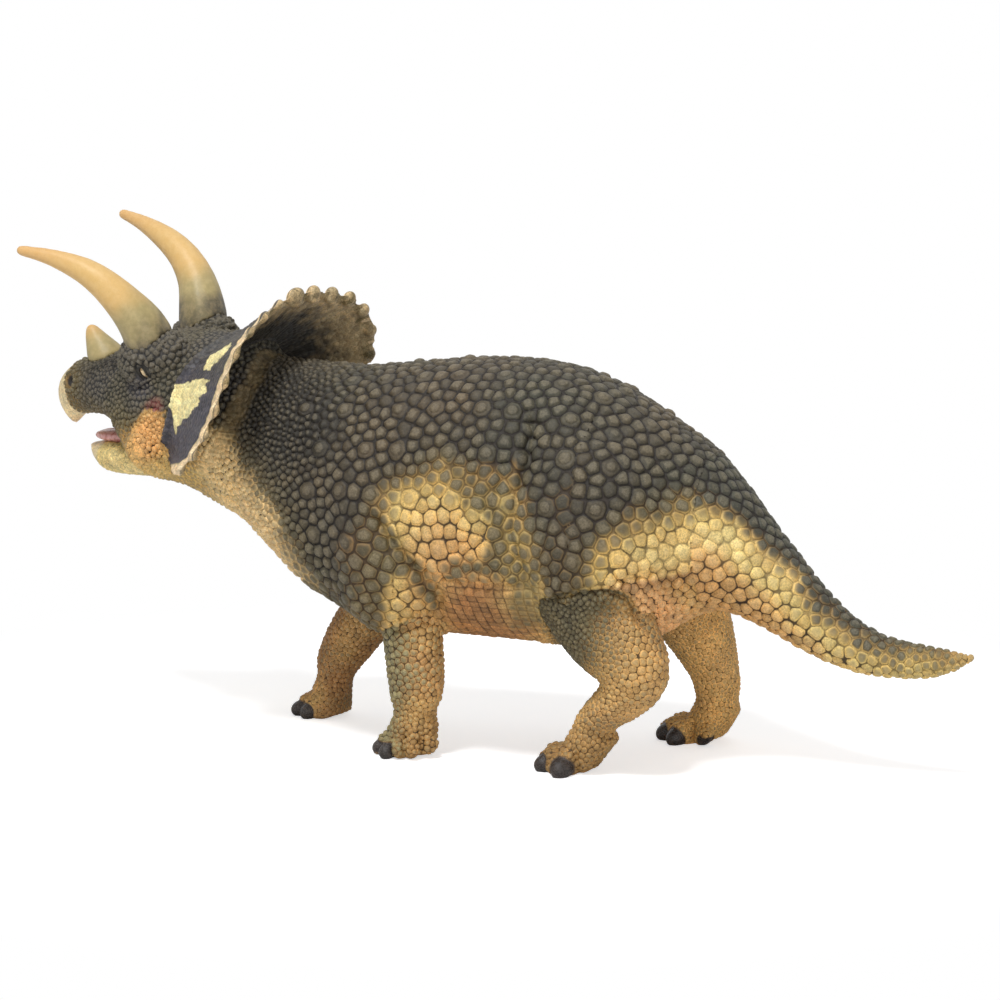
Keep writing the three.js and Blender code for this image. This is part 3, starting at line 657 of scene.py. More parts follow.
# The rows of bossed scales on the body casting, as its own source sets them out
BOSSED_STEP = 10.0
BOSSED_ROWS = 5
BOSSED_TURN = math.radians(21)
BOSSED_AXIS = 0.65 * 87
BOSSED_START = 0.17
BOSSED_END = 0.95
BOSSED_SWAY = 0.2
BOSSED_RADIUS = 2.5
RAY_START = 80  # outside the body
LOOSE_SPACING = 17.0  # between the other large scales, which stand in this part of the photograph
LOOSE_FRONT = 345
LOOSE_REAR = 670
LOOSE_LOWEST = 610
SEED_GAP = 0.86  # between two seeds, as a share of their radii
LARGEST_RADIUS = 2.2
LOOSE_SIZE = 1.35  # of the scales round it
WEIGHT_SHARE = 0.78
PACKED_GAP = 1.1  # between two settled seeds, as a share of their radii
PUSH = 0.35  # of what two seeds lack to that gap, in one round
REACH_EDGES = 5  # the nearest edges of a scale, whose mean is its reach
REACH_SHARE = 1.05
BELLY_ROW = 1.7
BELLY_COLUMN = 2.2
BELLY_AXIS = 55  # height of the line that the belly's rows turn round
BELLY_RADIUS = 28
PLAIN, BOSSED, SCUTE = range(3)  # kinds of scale

# Ovals of the near side in the photograph's frame: middle, reach, turn in degrees, soft share
SHOULDER_SCALES = ((385, 590), (48, 50), 0, 0.8)
THIGH_SCALES = ((590, 460), (80, 90), 0, 0.8)
TAIL_LOBE = ((648, 608), (44, 30), -15, 0.4)
KNEE_REAR = ((650, 665), (26, 34), 0, 0.5)
BELLY_FRONT = 441
BELLY_REAR = 543
BELLY_TOP = 582
LEG_PARTING = 480  # the column between the foreleg's skin and the hind leg's

# Half the width of the scales in millimetres
BODY_SCALE = 1.36
NECK_SCALES = [0.62, 0.98, 1.33, 1.7]
NECK_COLUMNS = [285, 322, 352, 400]  # for those, in the row NECK_ROW of the photograph's frame
NECK_ROW = 450
NECK_LEAN = 0.3  # columns for each row below that one
BELLY_HEIGHTS = (34, 27)  # over which the scales get finer
LEG_PATCH_SCALES = (0.84, 0.52)  # on the body's skin over the forelegs and over the hind legs
TAIL_SCALES = [1.36, 1.25, 0.95, 0.6]
TAIL_SHARES = [0, 0.35, 0.7, 1]  # of TAIL_REACH, for those
TAIL_REACH = 60
LEG_SCALES = {
    LEFT_FORE: (0.56, 0.82), RIGHT_FORE: (0.48, 0.62), LEFT_HIND: (0.58, 0.52), RIGHT_HIND: (0.44, 0.48),
}
LEG_HEIGHTS = (8, 36)  # for those
FACE_SCALES = [0.7, 0.64, 0.62, 0.58, 0.52]
FACE_AHEAD = [-8, 0, 12, 24, 45]  # for those, in the head's frame
JAW_SCALE = 0.48
FRILL_SCALE = 0.6

# The skin below the folds over the legs, as closed outlines in the photograph's frame
HIND_LEG_SKIN = [
    (539, 603), (557, 596), (576, 592), (596, 588), (617, 587), (630, 592), (642, 612), (655, 632),
    (668, 652), (668, 700), (590, 690), (562, 650), (548, 636), (541, 618),
]
FORELEG_SKIN = [(372, 644), (383, 632), (405, 626), (434, 618), (448, 622), (448, 700), (372, 700)]


def leg_share(owner, seen):
    """1 on the body casting's skin where it belongs to a leg by its looks."""
    below = np.maximum(inside(seen, HIND_LEG_SKIN), inside(seen, FORELEG_SKIN))
    return step(-2, 2, below) * (owner == BODY)


# The fold behind the frill, which has the frill's own wrinkles
RUFF_REACH = 14  # ahead of the neck's seam
RUFF = [
    (196, 470), (212, 446), (225, 412), (238, 388), (252, 358), (268, 336), (290, 318), (312, 318),
    (296, 340), (276, 362), (262, 386), (248, 412), (236, 438), (218, 462), (202, 480),
]


def ruff_share(points, owner, seen):
    """1 on the wrinkled fold behind the frill."""
    ragged = 8 * (noise(points, 3, 41) - 0.5)
    behind = np.isin(owner, (BODY, HEAD)) & (points[:, 0] > NECK_SEAM - RUFF_REACH)
    return step(-3, 5, inside(seen, RUFF) + ragged) * behind


def belly_share(owner, seen):
    """1 where the skin has the belly's square scutes."""
    across, down = seen.T
    share = step(BELLY_FRONT - 5, BELLY_FRONT + 5, across)
    share *= step(BELLY_REAR + 5, BELLY_REAR - 5, across)
    share *= step(BELLY_TOP - 2, BELLY_TOP + 2, down) * (owner == BODY)
    return share * (1 - leg_share(owner, seen))


def scale_radius(points, owner, seen):
    """Half the width of the scales, in millimetres."""
    across, down = seen.T
    radius = np.full(len(points), BODY_SCALE)
    radius += 0.12 * patch(seen, SHOULDER_SCALES)
    radius += 0.12 * patch(seen, THIGH_SCALES)
    from_neck = across + NECK_LEAN * (down - NECK_ROW)
    radius = np.minimum(radius, np.interp(from_neck, NECK_COLUMNS, NECK_SCALES))
    radius -= 0.45 * patch(seen, TAIL_LOBE)
    radius -= 0.4 * step(*BELLY_HEIGHTS, points[:, 2]) * (owner == BODY)
    leg_radius = np.where(across < LEG_PARTING, *LEG_PATCH_SCALES)
    radius += (leg_radius - radius) * leg_share(owner, seen)

    along = (points[:, 0] - TAIL_SEAM) / TAIL_REACH
    radius = np.where(owner == TAIL, np.interp(along, TAIL_SHARES, TAIL_SCALES), radius)
    for leg, widths in LEG_SCALES.items():
        radius = np.where(owner == leg, np.interp(points[:, 2], LEG_HEIGHTS, widths), radius)
    radius += 0.25 * patch(seen, KNEE_REAR) * (owner == LEFT_HIND)

    face = np.interp(in_head(points)[:, 0], FACE_AHEAD, FACE_SCALES)
    face -= 0.1 * step(-2, 2, inside(seen, CHEEK))
    radius = np.where(owner == HEAD, face, radius)
    radius = np.where(owner == JAW, JAW_SCALE, radius)
    return np.where(owner == FRILL, FRILL_SCALE, radius)


def feature_share(owner, seen):
    """Where the other large scales may stand."""
    across, down = seen.T
    back = (across > LOOSE_FRONT) & (across < LOOSE_REAR) & (down < LOOSE_LOWEST)
    return (owner == BODY) & back & (belly_share(owner, seen) < 0.1)


def bossed_places():
    """The middles of the body casting's bossed scales."""
    tree = surface_of("body_casting")
    length = trunk_high[0] - trunk_low[0]
    step_share = BOSSED_STEP / length
    places = []
    for row in range(-BOSSED_ROWS, BOSSED_ROWS + 1):
        outward = Vector((0, -math.sin(row * BOSSED_TURN), math.cos(row * BOSSED_TURN)))
        k = 0
        while BOSSED_START + (k + 1) * step_share < BOSSED_END:
            sway = BOSSED_SWAY * math.sin(k * k + 2 * row)
            share = BOSSED_START + (k + row % 2 / 2 + sway) * step_share
            axis = Vector((NECK_SEAM + share * length, MIDDLE_Y, BOSSED_AXIS))
            places.append(tree.ray_cast(axis + RAY_START * outward, -outward)[0])
            k += 1
    return places


class Scales:
    """Seeds spread over the skin, one to a scale, each with a radius, a height and a kind."""

    def __init__(self, points, owner, seen):
        radius = scale_radius(points, owner, seen)
        self.cover = KDTree(len(points))
        for i, point in enumerate(points):
            self.cover.insert(point, i)
        self.cover.balance()
        taken = belly_share(owner, seen) > 0.5
        chosen, sizes, kinds = self.belly_seeds(points, taken)

        def add(i, size, kind):
            self.claim(points, radius, taken, i, size)
            chosen.append(i)
            sizes.append(size)
            kinds.append(kind)

        for place in bossed_places():
            i = self.cover.find(place)[1]
            if not taken[i]:
                add(i, BOSSED_RADIUS, BOSSED)
        order = random.permutation(len(points))
        crowded = np.zeros(len(points), bool)
        for i in chosen:
            for _, j, _ in self.cover.find_range(points[i], 0.45 * LOOSE_SPACING):
                crowded[j] = True
        allowed = feature_share(owner, seen)
        for i in order[allowed[order]]:
            if crowded[i] or taken[i]:
                continue
            spacing = LOOSE_SPACING * (0.7 + 0.6 * lattice_value(i))
            for _, j, _ in self.cover.find_range(points[i], spacing):
                crowded[j] = True
            add(i, LOOSE_SIZE * radius[i], BOSSED)
        for i in order:
            if not taken[i]:
                add(i, radius[i] * (0.88 + 0.26 * lattice_value(3 * i)), PLAIN)
        self.places = points[chosen]
        self.radius = np.array(sizes)
        self.kind = np.array(kinds)
        self.fixed = self.kind == SCUTE
        self.chance = random.random(len(chosen))

    def claim(self, points, radius, taken, i, size):
        """Takes the points round a new seed, out to where the next seed may stand."""
        for _, j, gap in self.cover.find_range(points[i], SEED_GAP * (size + LARGEST_RADIUS)):
            if gap < SEED_GAP * (size + radius[j]):
                taken[j] = True

    def belly_seeds(self, points, wanted):
        """A grid of seeds round the belly, in rows from front to back."""
        arc = np.arctan2(points[:, 1] - MIDDLE_Y, BELLY_AXIS - points[:, 2]) * BELLY_RADIUS
        rows = np.round(points[:, 0] / BELLY_COLUMN)
        columns = np.round(arc / BELLY_ROW)
        gap = np.hypot(points[:, 0] - rows * BELLY_COLUMN, arc - columns * BELLY_ROW)
        best = {}
        for i in np.flatnonzero(wanted):
            key = (rows[i], columns[i])
            if key not in best or gap[i] < gap[best[key]]:
                best[key] = i
        chosen = list(best.values())
        return chosen, [BELLY_ROW / 2] * len(chosen), [SCUTE] * len(chosen)

    def grow_tree(self):
        self.tree = KDTree(len(self.places))
        for i, place in enumerate(self.places):
            self.tree.insert(place, i)
        self.tree.balance()

    def nearest(self, points, count):
        found = [self.tree.find_n(point, count) for point in points.tolist()]
        found = np.array([[(i, gap) for _, i, gap in row] for row in found])
        return found[:, :, 0].astype(int), found[:, :, 1]

    def weigh(self, index, gap):
        return gap**2 - (WEIGHT_SHARE * self.radius[index]) ** 2

    def spread_out(self, points, rounds):
        """Pushes the seeds apart until they are evenly packed, each kept on the skin."""
        free = np.flatnonzero(self.kind == PLAIN)
        for _ in range(rounds):
            self.grow_tree()
            index, gap = self.nearest(self.places[free], 7)
            wanted = PACKED_GAP * (self.radius[free][:, None] + self.radius[index])
            push = PUSH * np.clip(wanted - gap, 0, None) / np.maximum(gap, 0.1)
            push[:, 0] = 0
            away = self.places[free][:, None] - self.places[index]
            moved = self.places[free] + (away * push[:, :, None]).sum(axis=1)
            self.places[free] = points[[self.cover.find(place)[1] for place in moved.tolist()]]

    def settle(self, points, rounds):
        """Draws each seed to the middle of its own scale."""
        for _ in range(rounds):
            self.grow_tree()
            index, gap = self.nearest(points, 3)
            owner = index[np.arange(len(points)), self.weigh(index, gap).argmin(axis=1)]
            count = np.bincount(owner, minlength=len(self.places))
            middle = np.stack([np.bincount(owner, points[:, k], len(self.places)) for k in range(3)], 1)
            free = (count > 0) & ~self.fixed
            self.places[free] = middle[free] / count[free, None]
        self.grow_tree()
        index, gap = self.nearest(self.places, 9)
        weight = (WEIGHT_SHARE * self.radius) ** 2
        gap = np.maximum(gap, 0.1)
        edge = (gap**2 + weight[:, None] - weight[index]) / (2 * gap)
        edge[:, 0] = np.inf
        self.reach = REACH_SHARE * np.sort(edge, axis=1)[:, :REACH_EDGES].mean(axis=1)

    def cells(self, points):
        """Each point's scale, its distance to the scale's edge, and the way to that edge."""
        index, gap = self.nearest(points, 5)
        power = self.weigh(index, gap)
        order = power.argsort(axis=1)
        index = np.take_along_axis(index, order, 1)
        gap = np.take_along_axis(gap, order, 1)
        power = np.take_along_axis(power, order, 1)
        own = index[:, 0]
        others = self.places[index[:, 1:]] - self.places[own][:, None]
        length = np.maximum(np.linalg.norm(others, axis=2), 0.1)
        edge = (power[:, 1:] - power[:, :1]) / (2 * length)
        nearest = edge.argmin(axis=1)
        rows = np.arange(len(points))
        way = others[rows, nearest] / length[rows, nearest][:, None]
        return own, edge[rows, nearest], way, gap[:, 0]


# The frill's own grain

# Its rim from the foot of a wing to the middle of the top: ahead, aside and up in the head's frame
WING_RIM = np.array([
    (0.1, 0.42, -0.4), (-0.28, 0.45, -0.22), (-0.6, 0.47, 0), (-0.8, 0.47, 0.22),
    (-0.92, 0.44, 0.46), (-0.96, 0.385, 0.655), (-0.97, 0.3, 0.795), (-0.94, 0.17, 0.9),
    (-0.91, 0.07, 0.94), (-0.91, 0, 0.95),
]) * (17, 65, 27)
RIM = np.vstack([WING_RIM, WING_RIM[-2::-1] * (1, -1, 1)])
FRILL_HUB = (0.0, -2.0)
HUB_AHEAD = -8
ROOT_RADIUS = 16.0
WRINKLES = 30  # for each unit of turn round the hub
rim_turn = np.arctan2(WING_RIM[:, 1] - FRILL_HUB[0], WING_RIM[:, 2] - FRILL_HUB[1])
rim_radius = np.hypot(WING_RIM[:, 1] - FRILL_HUB[0], WING_RIM[:, 2] - FRILL_HUB[1])

# Knobs from the middle of the top to the far wing's foot. The near wing's rim is smooth.
KNOB_COUNT = 19
FIRST_KNOB = 9
KNOB_RADII = (2.0, 2.1, 1.6)  # along the rim, outwards and through it
KNOB_TAPER = 0.05  # from each knob to the next
BROAD_KNOB = 1.4  # the middle one's length against the others


def knobs():
    """The knobs round the rim, smaller towards the foot of the wing."""
    length = np.linalg.norm(np.diff(RIM, axis=0), axis=1).cumsum()
    length = np.concatenate([[0], length])
    for count in range(FIRST_KNOB, KNOB_COUNT):
        mark = (count + 0.5) / KNOB_COUNT * length[-1]
        at, before, after = (
            from_head([np.interp(mark + d, length, RIM[:, k]) for k in range(3)]) for d in (0, -0.5, 0.5)
        )
        along = (after - before) / np.linalg.norm(after - before)
        outward = at - from_head((HUB_AHEAD, *FRILL_HUB))
        outward -= along * (along @ outward)
        outward /= np.linalg.norm(outward)
        radii = np.array(KNOB_RADII) * (1 - KNOB_TAPER * (count - FIRST_KNOB))
        radii[0] *= BROAD_KNOB if count == FIRST_KNOB else 1
        yield at, np.stack([along, outward, np.cross(along, outward)]), radii


def on_frill(points):
    """The turn round the frill's hub, and the share of the way from its root to its rim."""
    places = in_head(points)
    side, up = places[:, 1] - FRILL_HUB[0], places[:, 2] - FRILL_HUB[1]
    turn = np.arctan2(side, up)
    outer = np.interp(np.abs(turn), rim_turn[::-1], rim_radius[::-1])
    return turn, (np.hypot(side, up) - ROOT_RADIUS) / (outer - ROOT_RADIUS)


def striations(points):
    """Radial wrinkles, from 0 to 1."""
    turn, share = on_frill(points)
    sway = 0.05 * (noise(points, 6, 3) - 0.5)
    lines = np.stack([(turn + sway) * WRINKLES, share * 3, np.zeros(len(points))], 1)
    fine = noise(lines, 1.0, 5)
    broad = noise(lines, 2.6, 6)
    ridges = 1 - np.abs(2 * fine - 1)
    return 0.65 * ridges + 0.35 * broad


# Relief

RELIEF_HEIGHT = {
    BODY: 0.68, TAIL: 0.52, LEFT_FORE: 0.42, RIGHT_FORE: 0.36, LEFT_HIND: 0.38, RIGHT_HIND: 0.32,
    HEAD: 0.52, FRILL: 0.34, JAW: 0.22,
}
EYE_REACH = 4  # beyond it a place isn't the eye's
# A scale's profile, in shares of its reach and of its relief height
CORNER = 1.1
ROUNDING = 0.6
ROUND_POWER = 2.2
CROWN_RISE = 0.26
BOSS_RISE, BOSS_WIDTH = 0.3, 0.3
MOAT_DEPTH, MOAT_PLACE, MOAT_WIDTH = 0.42, 0.6, 0.12
SCUTE_RISE = 0.6
CROWN_HEIGHT = 1.15  # at which the paint takes a scale as its very top
# The smooth front of the upper beak, from the lip to the nose horn
BEAK_UP = [-20, -8, -2, 4, 8]
BEAK_AHEAD = [40.0, 45.5, 48.3, 48.6, 47.6]


def beak_share(points, owner):
    """1 on the smooth horn of the beak."""
    places = in_head(points)
    ahead, up = places[:, 0], places[:, 2]
    upper = step(-1.2, 0.8, ahead - np.interp(up, BEAK_UP, BEAK_AHEAD)) * (owner == HEAD)
    lower = step(39.5, 42.5, ahead + 0.25 * (up + 14)) * (owner == JAW)
    return np.maximum(upper, lower)


def gloss_share(points, owner):
    """1 on the claws and the eyes, less on the beak."""
    places = face_places(points)
    near_eye = away_from(EYE, places) < EYE_REACH
    eye = (owner == HEAD) * step(1.15, 1.0, eye_gap(places)) * near_eye
    return np.maximum.reduce([claw_share(points, owner), 0.4 * beak_share(points, owner), eye])


def bare_share(points, normals, owner):
    """1 where the skin has no scales."""
    places = face_places(points)
    bare = beak_share(points, owner)
    on_head = owner == HEAD
    for centre, radius in ((EYE, 1.9), (NOSTRIL, 1.5), (CHEEK_BOSS, 1.9)):
        gap = away_from(centre, places)
        bare = np.maximum(bare, on_head * step(radius + 0.5, radius - 0.4, gap))
    bare = np.maximum(bare, claw_share(points, owner))
    sole = np.isin(owner, LEGS) * step(1.6, 0.6, points[:, 2]) * step(-0.2, -0.7, normals[:, 2])
    rim = (owner == FRILL) * step(0.86, 0.93, on_frill(points)[1])
    return np.maximum.reduce([bare, sole, rim])


def relief(points, normals, owner, seen, scales, spacing):
    """The scaled surface, with the height and the chance of each point's scale."""
    own, edge, way, gap = scales.cells(points)
    kind, chance, reach = scales.kind[own], scales.chance[own], scales.reach[own]
    bare = bare_share(points, normals, owner)
    high = np.array([RELIEF_HEIGHT[k] for k in range(len(SKIN_NODES))])[owner]
    corner = CORNER * reach - gap
    rim = edge - 0.25 * np.clip(0.5 * reach - np.abs(edge - corner), 0, None) ** 2 / reach
    rim = np.where(kind == SCUTE, edge, np.minimum(rim, corner))
    rounding = np.clip(rim / (ROUNDING * reach), 0, 1)
    dome = 1 - (1 - rounding) ** ROUND_POWER
    top = CROWN_RISE * (1 - np.clip(gap / reach, 0, 1) ** 2)
    boss = BOSS_RISE * bell(gap, BOSS_WIDTH * reach)
    boss -= MOAT_DEPTH * bell(gap - MOAT_PLACE * reach, MOAT_WIDTH * reach)
    profile = dome + top + (kind == BOSSED) * boss + 0.1 * (kind == BOSSED) * dome
    height = high * (0.75 + 0.4 * chance) * profile
    height = np.where(kind == SCUTE, SCUTE_RISE * height, height)
    grain = striations(points)
    height = np.where(owner == FRILL, 1.1 * high * grain + 0.35 * height, height)
    ruff = ruff_share(points, owner, seen) if owner[0] in (BODY, HEAD) else 0
    height = height + ruff * (0.5 * grain - 0.75 * height)
    height = height * (1 - bare)
    if owner[0] == HEAD:
        height += face_details(points) * (1 - beak_share(points, owner))
    height += 0.08 * (noise(points, 0.9, 8) - 0.5) * (1 - bare)
    snap = (edge < 0.4 * spacing) & (bare < 0.3) & (owner != FRILL)
    moved = points + normals * height[:, None]
    moved[snap] += (way * edge[:, None])[snap]
    return moved, np.clip(height / (high * CROWN_HEIGHT), 0, 1), chance, bare


# Paint, as the figure's colours before its dark wash, with some painted shadow and painted light among
# them

DARK = colour("454336")
DARK_WARM = colour("524736")
# The neck's dark paint together with the painted shadow that the frill casts on the neck
NECK_DARK_AND_SHADOW = colour("2f2b23")
SLATE = colour("45434a")
OLIVE = colour("746743")
GREY_GREEN = colour("978c62")
TAN = colour("d2a668")
GOLD = colour("d4ab66")
YELLOW = colour("e4cc7e")
PALE = colour("efe2a6")
BRIGHT = colour("f8dc92")
BELLY_BROWN = colour("a06e42")
THROAT_CREAM = colour("e8cb94")
CHEEK_TAN = colour("e0a868")
FACE_DARK = colour("383529")
LOBE_TAN = colour("f2bc80")
# A brighter gold, painted light on the far hind leg
FAR_LIT_GOLD = colour("ecbc70")
ORANGE = colour("c98e5a")
BROWN = colour("96683f")
CREAM = colour("ead3a0")
PINK = colour("ead0a6")
MAROON = colour("7c3a38")
MOUTH = colour("a85650")
NOSTRIL_DARK = colour("2a2520")
HOOF = colour("3a3431")
FOOT_TAN = colour("a27c48")
REAR_DARK = colour("302d27")
RUFF_BROWN = colour("7a6a4a")
FRILL_BROWN = colour("c0a87e")
MUZZLE_OLIVE = colour("a89c6e")
EYE_PALE = colour("ecd2a8")

# The lower edge of the dark back on the near side, as columns and rows of the photograph's frame
BACK_EDGE = np.array([
    (180, 404), (205, 416), (222, 430), (234, 446), (250, 468), (270, 504), (289, 545), (312, 582),
    (335, 614), (352, 632), (366, 590), (378, 524), (390, 500), (404, 484), (420, 476), (440, 474),
    (460, 480), (480, 492), (500, 496), (512, 500), (526, 545), (540, 590), (556, 598), (574, 590),
    (592, 566), (610, 544), (640, 526), (670, 516), (700, 512), (730, 526), (760, 554), (800, 598),
    (860, 645), (920, 664), (985, 666),
])
# Closed outlines of the body's paint
SHOULDER = [
    (330, 560), (350, 530), (366, 516), (390, 533), (410, 553), (426, 570), (438, 590), (442, 612),
    (437, 622), (426, 605), (410, 594), (397, 582), (388, 596), (390, 618), (380, 642), (356, 634),
]
ARM_LOBE = [
    (393, 580), (406, 574), (416, 592), (427, 606), (434, 620), (405, 628), (392, 628), (387, 610),
]
BELLY_EDGE = [(444, 563), (470, 560), (498, 558), (508, 566), (500, 579), (450, 579)]
# Over the flank's folds the dark spray lies thicker, as painted shade in the folds
FLANK_FOLD_SHADE = [(456, 466), (500, 460), (506, 492), (498, 514), (468, 508)]
FLANK_REAR = [(490, 510), (504, 505), (512, 560), (500, 575), (490, 560)]
THIGH_MIDDLE = [(548, 500), (566, 486), (580, 530), (576, 562), (566, 600), (546, 600), (544, 560)]
THIGH_EDGE = [
    (506, 478), (515, 462), (526, 500), (529, 540), (533, 575), (528, 592), (516, 590), (508, 560),
    (505, 520),
]
GROIN = [(504, 570), (540, 570), (543, 628), (513, 628)]
# With the thickness of the dark spray inside each, and its soft edge in pixels
SPRAYED = [
    (SHOULDER, 0.74, 12), (ARM_LOBE, 0.16, 10), (BELLY_EDGE, 0.7, 8), (FLANK_FOLD_SHADE, 0.62, 12),
    (FLANK_REAR, 0.72, 8), (THIGH_MIDDLE, 0.78, 18), (THIGH_EDGE, 0.52, 13), (GROIN, 0.6, 9),
]
BRIGHT_RIDGE = [(600, 566), (640, 563), (668, 554), (700, 541), (726, 541), (755, 560), (792, 585)]
BRIGHT_FLANK = [
    (376, 488), (400, 486), (428, 502), (448, 526), (440, 545), (420, 548), (404, 540), (388, 524),
]
BRIGHT_FOLD = [(474, 513), (487, 511), (488, 532), (474, 534)]
# The fold at the thigh's notch, with a brown painted shadow just under it
NOTCH_SHADOW_LINE = np.array([(616, 584), (640, 580), (670, 573), (705, 565)])
FRILL_PATCH_LOW = [
    (169, 386), (178, 383), (189, 382), (208, 378), (212, 380), (205, 395), (199, 405), (192, 417),
    (184, 420), (176, 436), (174, 427), (171, 411), (168, 400),
]
FRILL_PATCH_HIGH = [
    (203, 368), (210, 357), (224, 348), (232, 344), (230, 352), (221, 359), (210, 370), (205, 371),
]


# Columns of the photograph's frame between which the paint changes
BRIGHT_START = (606, 662)
BRIGHT_END = (712, 770)
YELLOW_START = (360, 400)
THROAT_END = (350, 315)
EDGE_COLUMNS = (300, 370)  # with how softly the dark back ends at each, in pixels
EDGE_SOFTNESS = (30, 60)
THIGH_FOLD_COLUMNS = (580, 565)  # the leg's paint starts softly ahead of them, sharply behind
TAIL_TIP_COLUMNS = (1000, 925)
TAIL_OLIVE_COLUMNS = (850, 960)
# The painted shadow of the thigh on the far hind leg lies ahead of these columns
THIGH_SHADOW_COLUMNS = (690, 655)
SHIN_ROWS = (730, 680)
# The dark front of each near leg ends at these columns, row by row
FORE_ROWS = [600, 625, 640, 660, 700, 740]
FORE_COLUMNS = [396, 402, 410, 411, 410, 400]
HIND_ROWS = [590, 620, 640, 660, 675, 690, 710, 740, 765]
HIND_COLUMNS = [622, 612, 606, 606, 596, 582, 574, 564, 552]
# The crease along the near hind leg's rear edge, darkened with painted shade
LEG_REAR_CREASE_SHADE = [(622, 592), (632, 600), (640, 618), (650, 634), (664, 650)]

# Ovals of colour in the photograph's frame: middle, reach, turn in degrees, soft share
BELLY_ORANGE = ((497, 612), (56, 34), 0, 0.35)
LOBE_ORANGE = ((640, 608), (46, 26), 20, 0.35)
# Where the frill's shadow is painted on the neck, over the neck's own dark paint
NECK_SHADE = ((285, 415), (56, 48), 40, 0.5)
CHEEK_MAROON = ((155, 409), (8, 11), 30, 0.5)
EYE_SLATE = ((141, 386), (12, 12), 0, 0.35)
CHEEK_ORANGE = ((150, 436), (16, 26), 25, 0.5)
FRILL_FOOT = ((178, 472), (13, 9), 0, 0.4)
CHEEK = [
    (133, 430), (146, 408), (165, 411), (169, 432), (166, 455), (167, 475), (153, 480), (135, 474),
    (130, 450),
]


# Spans of the head's frame over which its paint changes
MUZZLE_AHEAD, MUZZLE_UP = (37, 47), (10, 5)
OLIVE_UP = (3, -4)
CHIN_UP = (-8, -13)
THROAT_AHEAD = (8, 0)
NECK_AHEAD = (5, -4)
LOW_UP = (2.0, -8.5)
CHEEK_END = (38, 32)
LIPS_AHEAD, LIPS_UP = (34, 38), (-2.0, -5.5)
BEAK_TOP, BEAK_FOOT = (0, 7), (-5, -9)
MOUTH_END = (44, 41)
# Heights above the ground over which the legs' paint changes
FOOT_HEIGHTS = (12, 5)
FAR_FORE_TOP = (22, 32)
# Heights over which the far hind leg darkens upwards with the thigh's painted shadow
THIGH_SHADOW_HEIGHTS = (26, 36)


def zone(points, seen, outline, soft):
    """1 inside an outline, fading over some pixels with a ragged edge."""
    return step(-soft, soft, inside(seen, outline) + 1.3 * soft * (noise(points, 3.4, 12) - 0.5))


def flat(tone, points):
    return np.tile(tone, (len(points), 1))


def above_edge(points, seen):
    """How far above the dark back's lower edge each point is seen, in pixels, with a ragged edge."""
    across, down = seen.T
    ragged = 14 * (noise(points, 10, 11) - 0.5) + 12 * (noise(points, 3.4, 12) - 0.5)
    gap, _ = from_line(seen, BACK_EDGE)
    above = np.interp(across, BACK_EDGE[:, 0], BACK_EDGE[:, 1]) > down
    return np.where(above, gap, -gap) + ragged


def bright_share(points, seen):
    """1 on the palest patches of the flank and along the rump's ridge."""
    flank = np.maximum(zone(points, seen, BRIGHT_FLANK, 16), zone(points, seen, BRIGHT_FOLD, 8))
    gap, _ = from_line(seen, BRIGHT_RIDGE)
    ridge = bell(gap, 16) * step(*BRIGHT_START, seen[:, 0]) * (1 - 0.6 * step(*BRIGHT_END, seen[:, 0]))
    return np.maximum(0.14 * flank, ridge)


FULL_COVER = 1.35  # more than 1 where the spray reaches into the grooves


def ruffed(tint, points, owner, seen):
    """The spray's colour, browner on the wrinkled fold behind the frill."""
    ruff = ruff_share(points, owner, seen)
    return mixed(tint, RUFF_BROWN, ruff * (0.35 + 0.5 * noise(points, 2.5, 42)))


def leg_cut(points, seen):
    """1 where a leg's paint lies on the body casting, cut off above the thigh's fold."""
    knee = 10 * step(*THIGH_FOLD_COLUMNS, seen[:, 0]) + 1
    ragged = inside(seen, HIND_LEG_SKIN) + 0.8 * knee * noise(points, 3.4, 12)
    return np.where(seen[:, 0] > LEG_PARTING, step(0, 2 * knee, ragged), 1)


# Each painter gives the light undercoat, the dark spray over it, and how thick the spray lies.

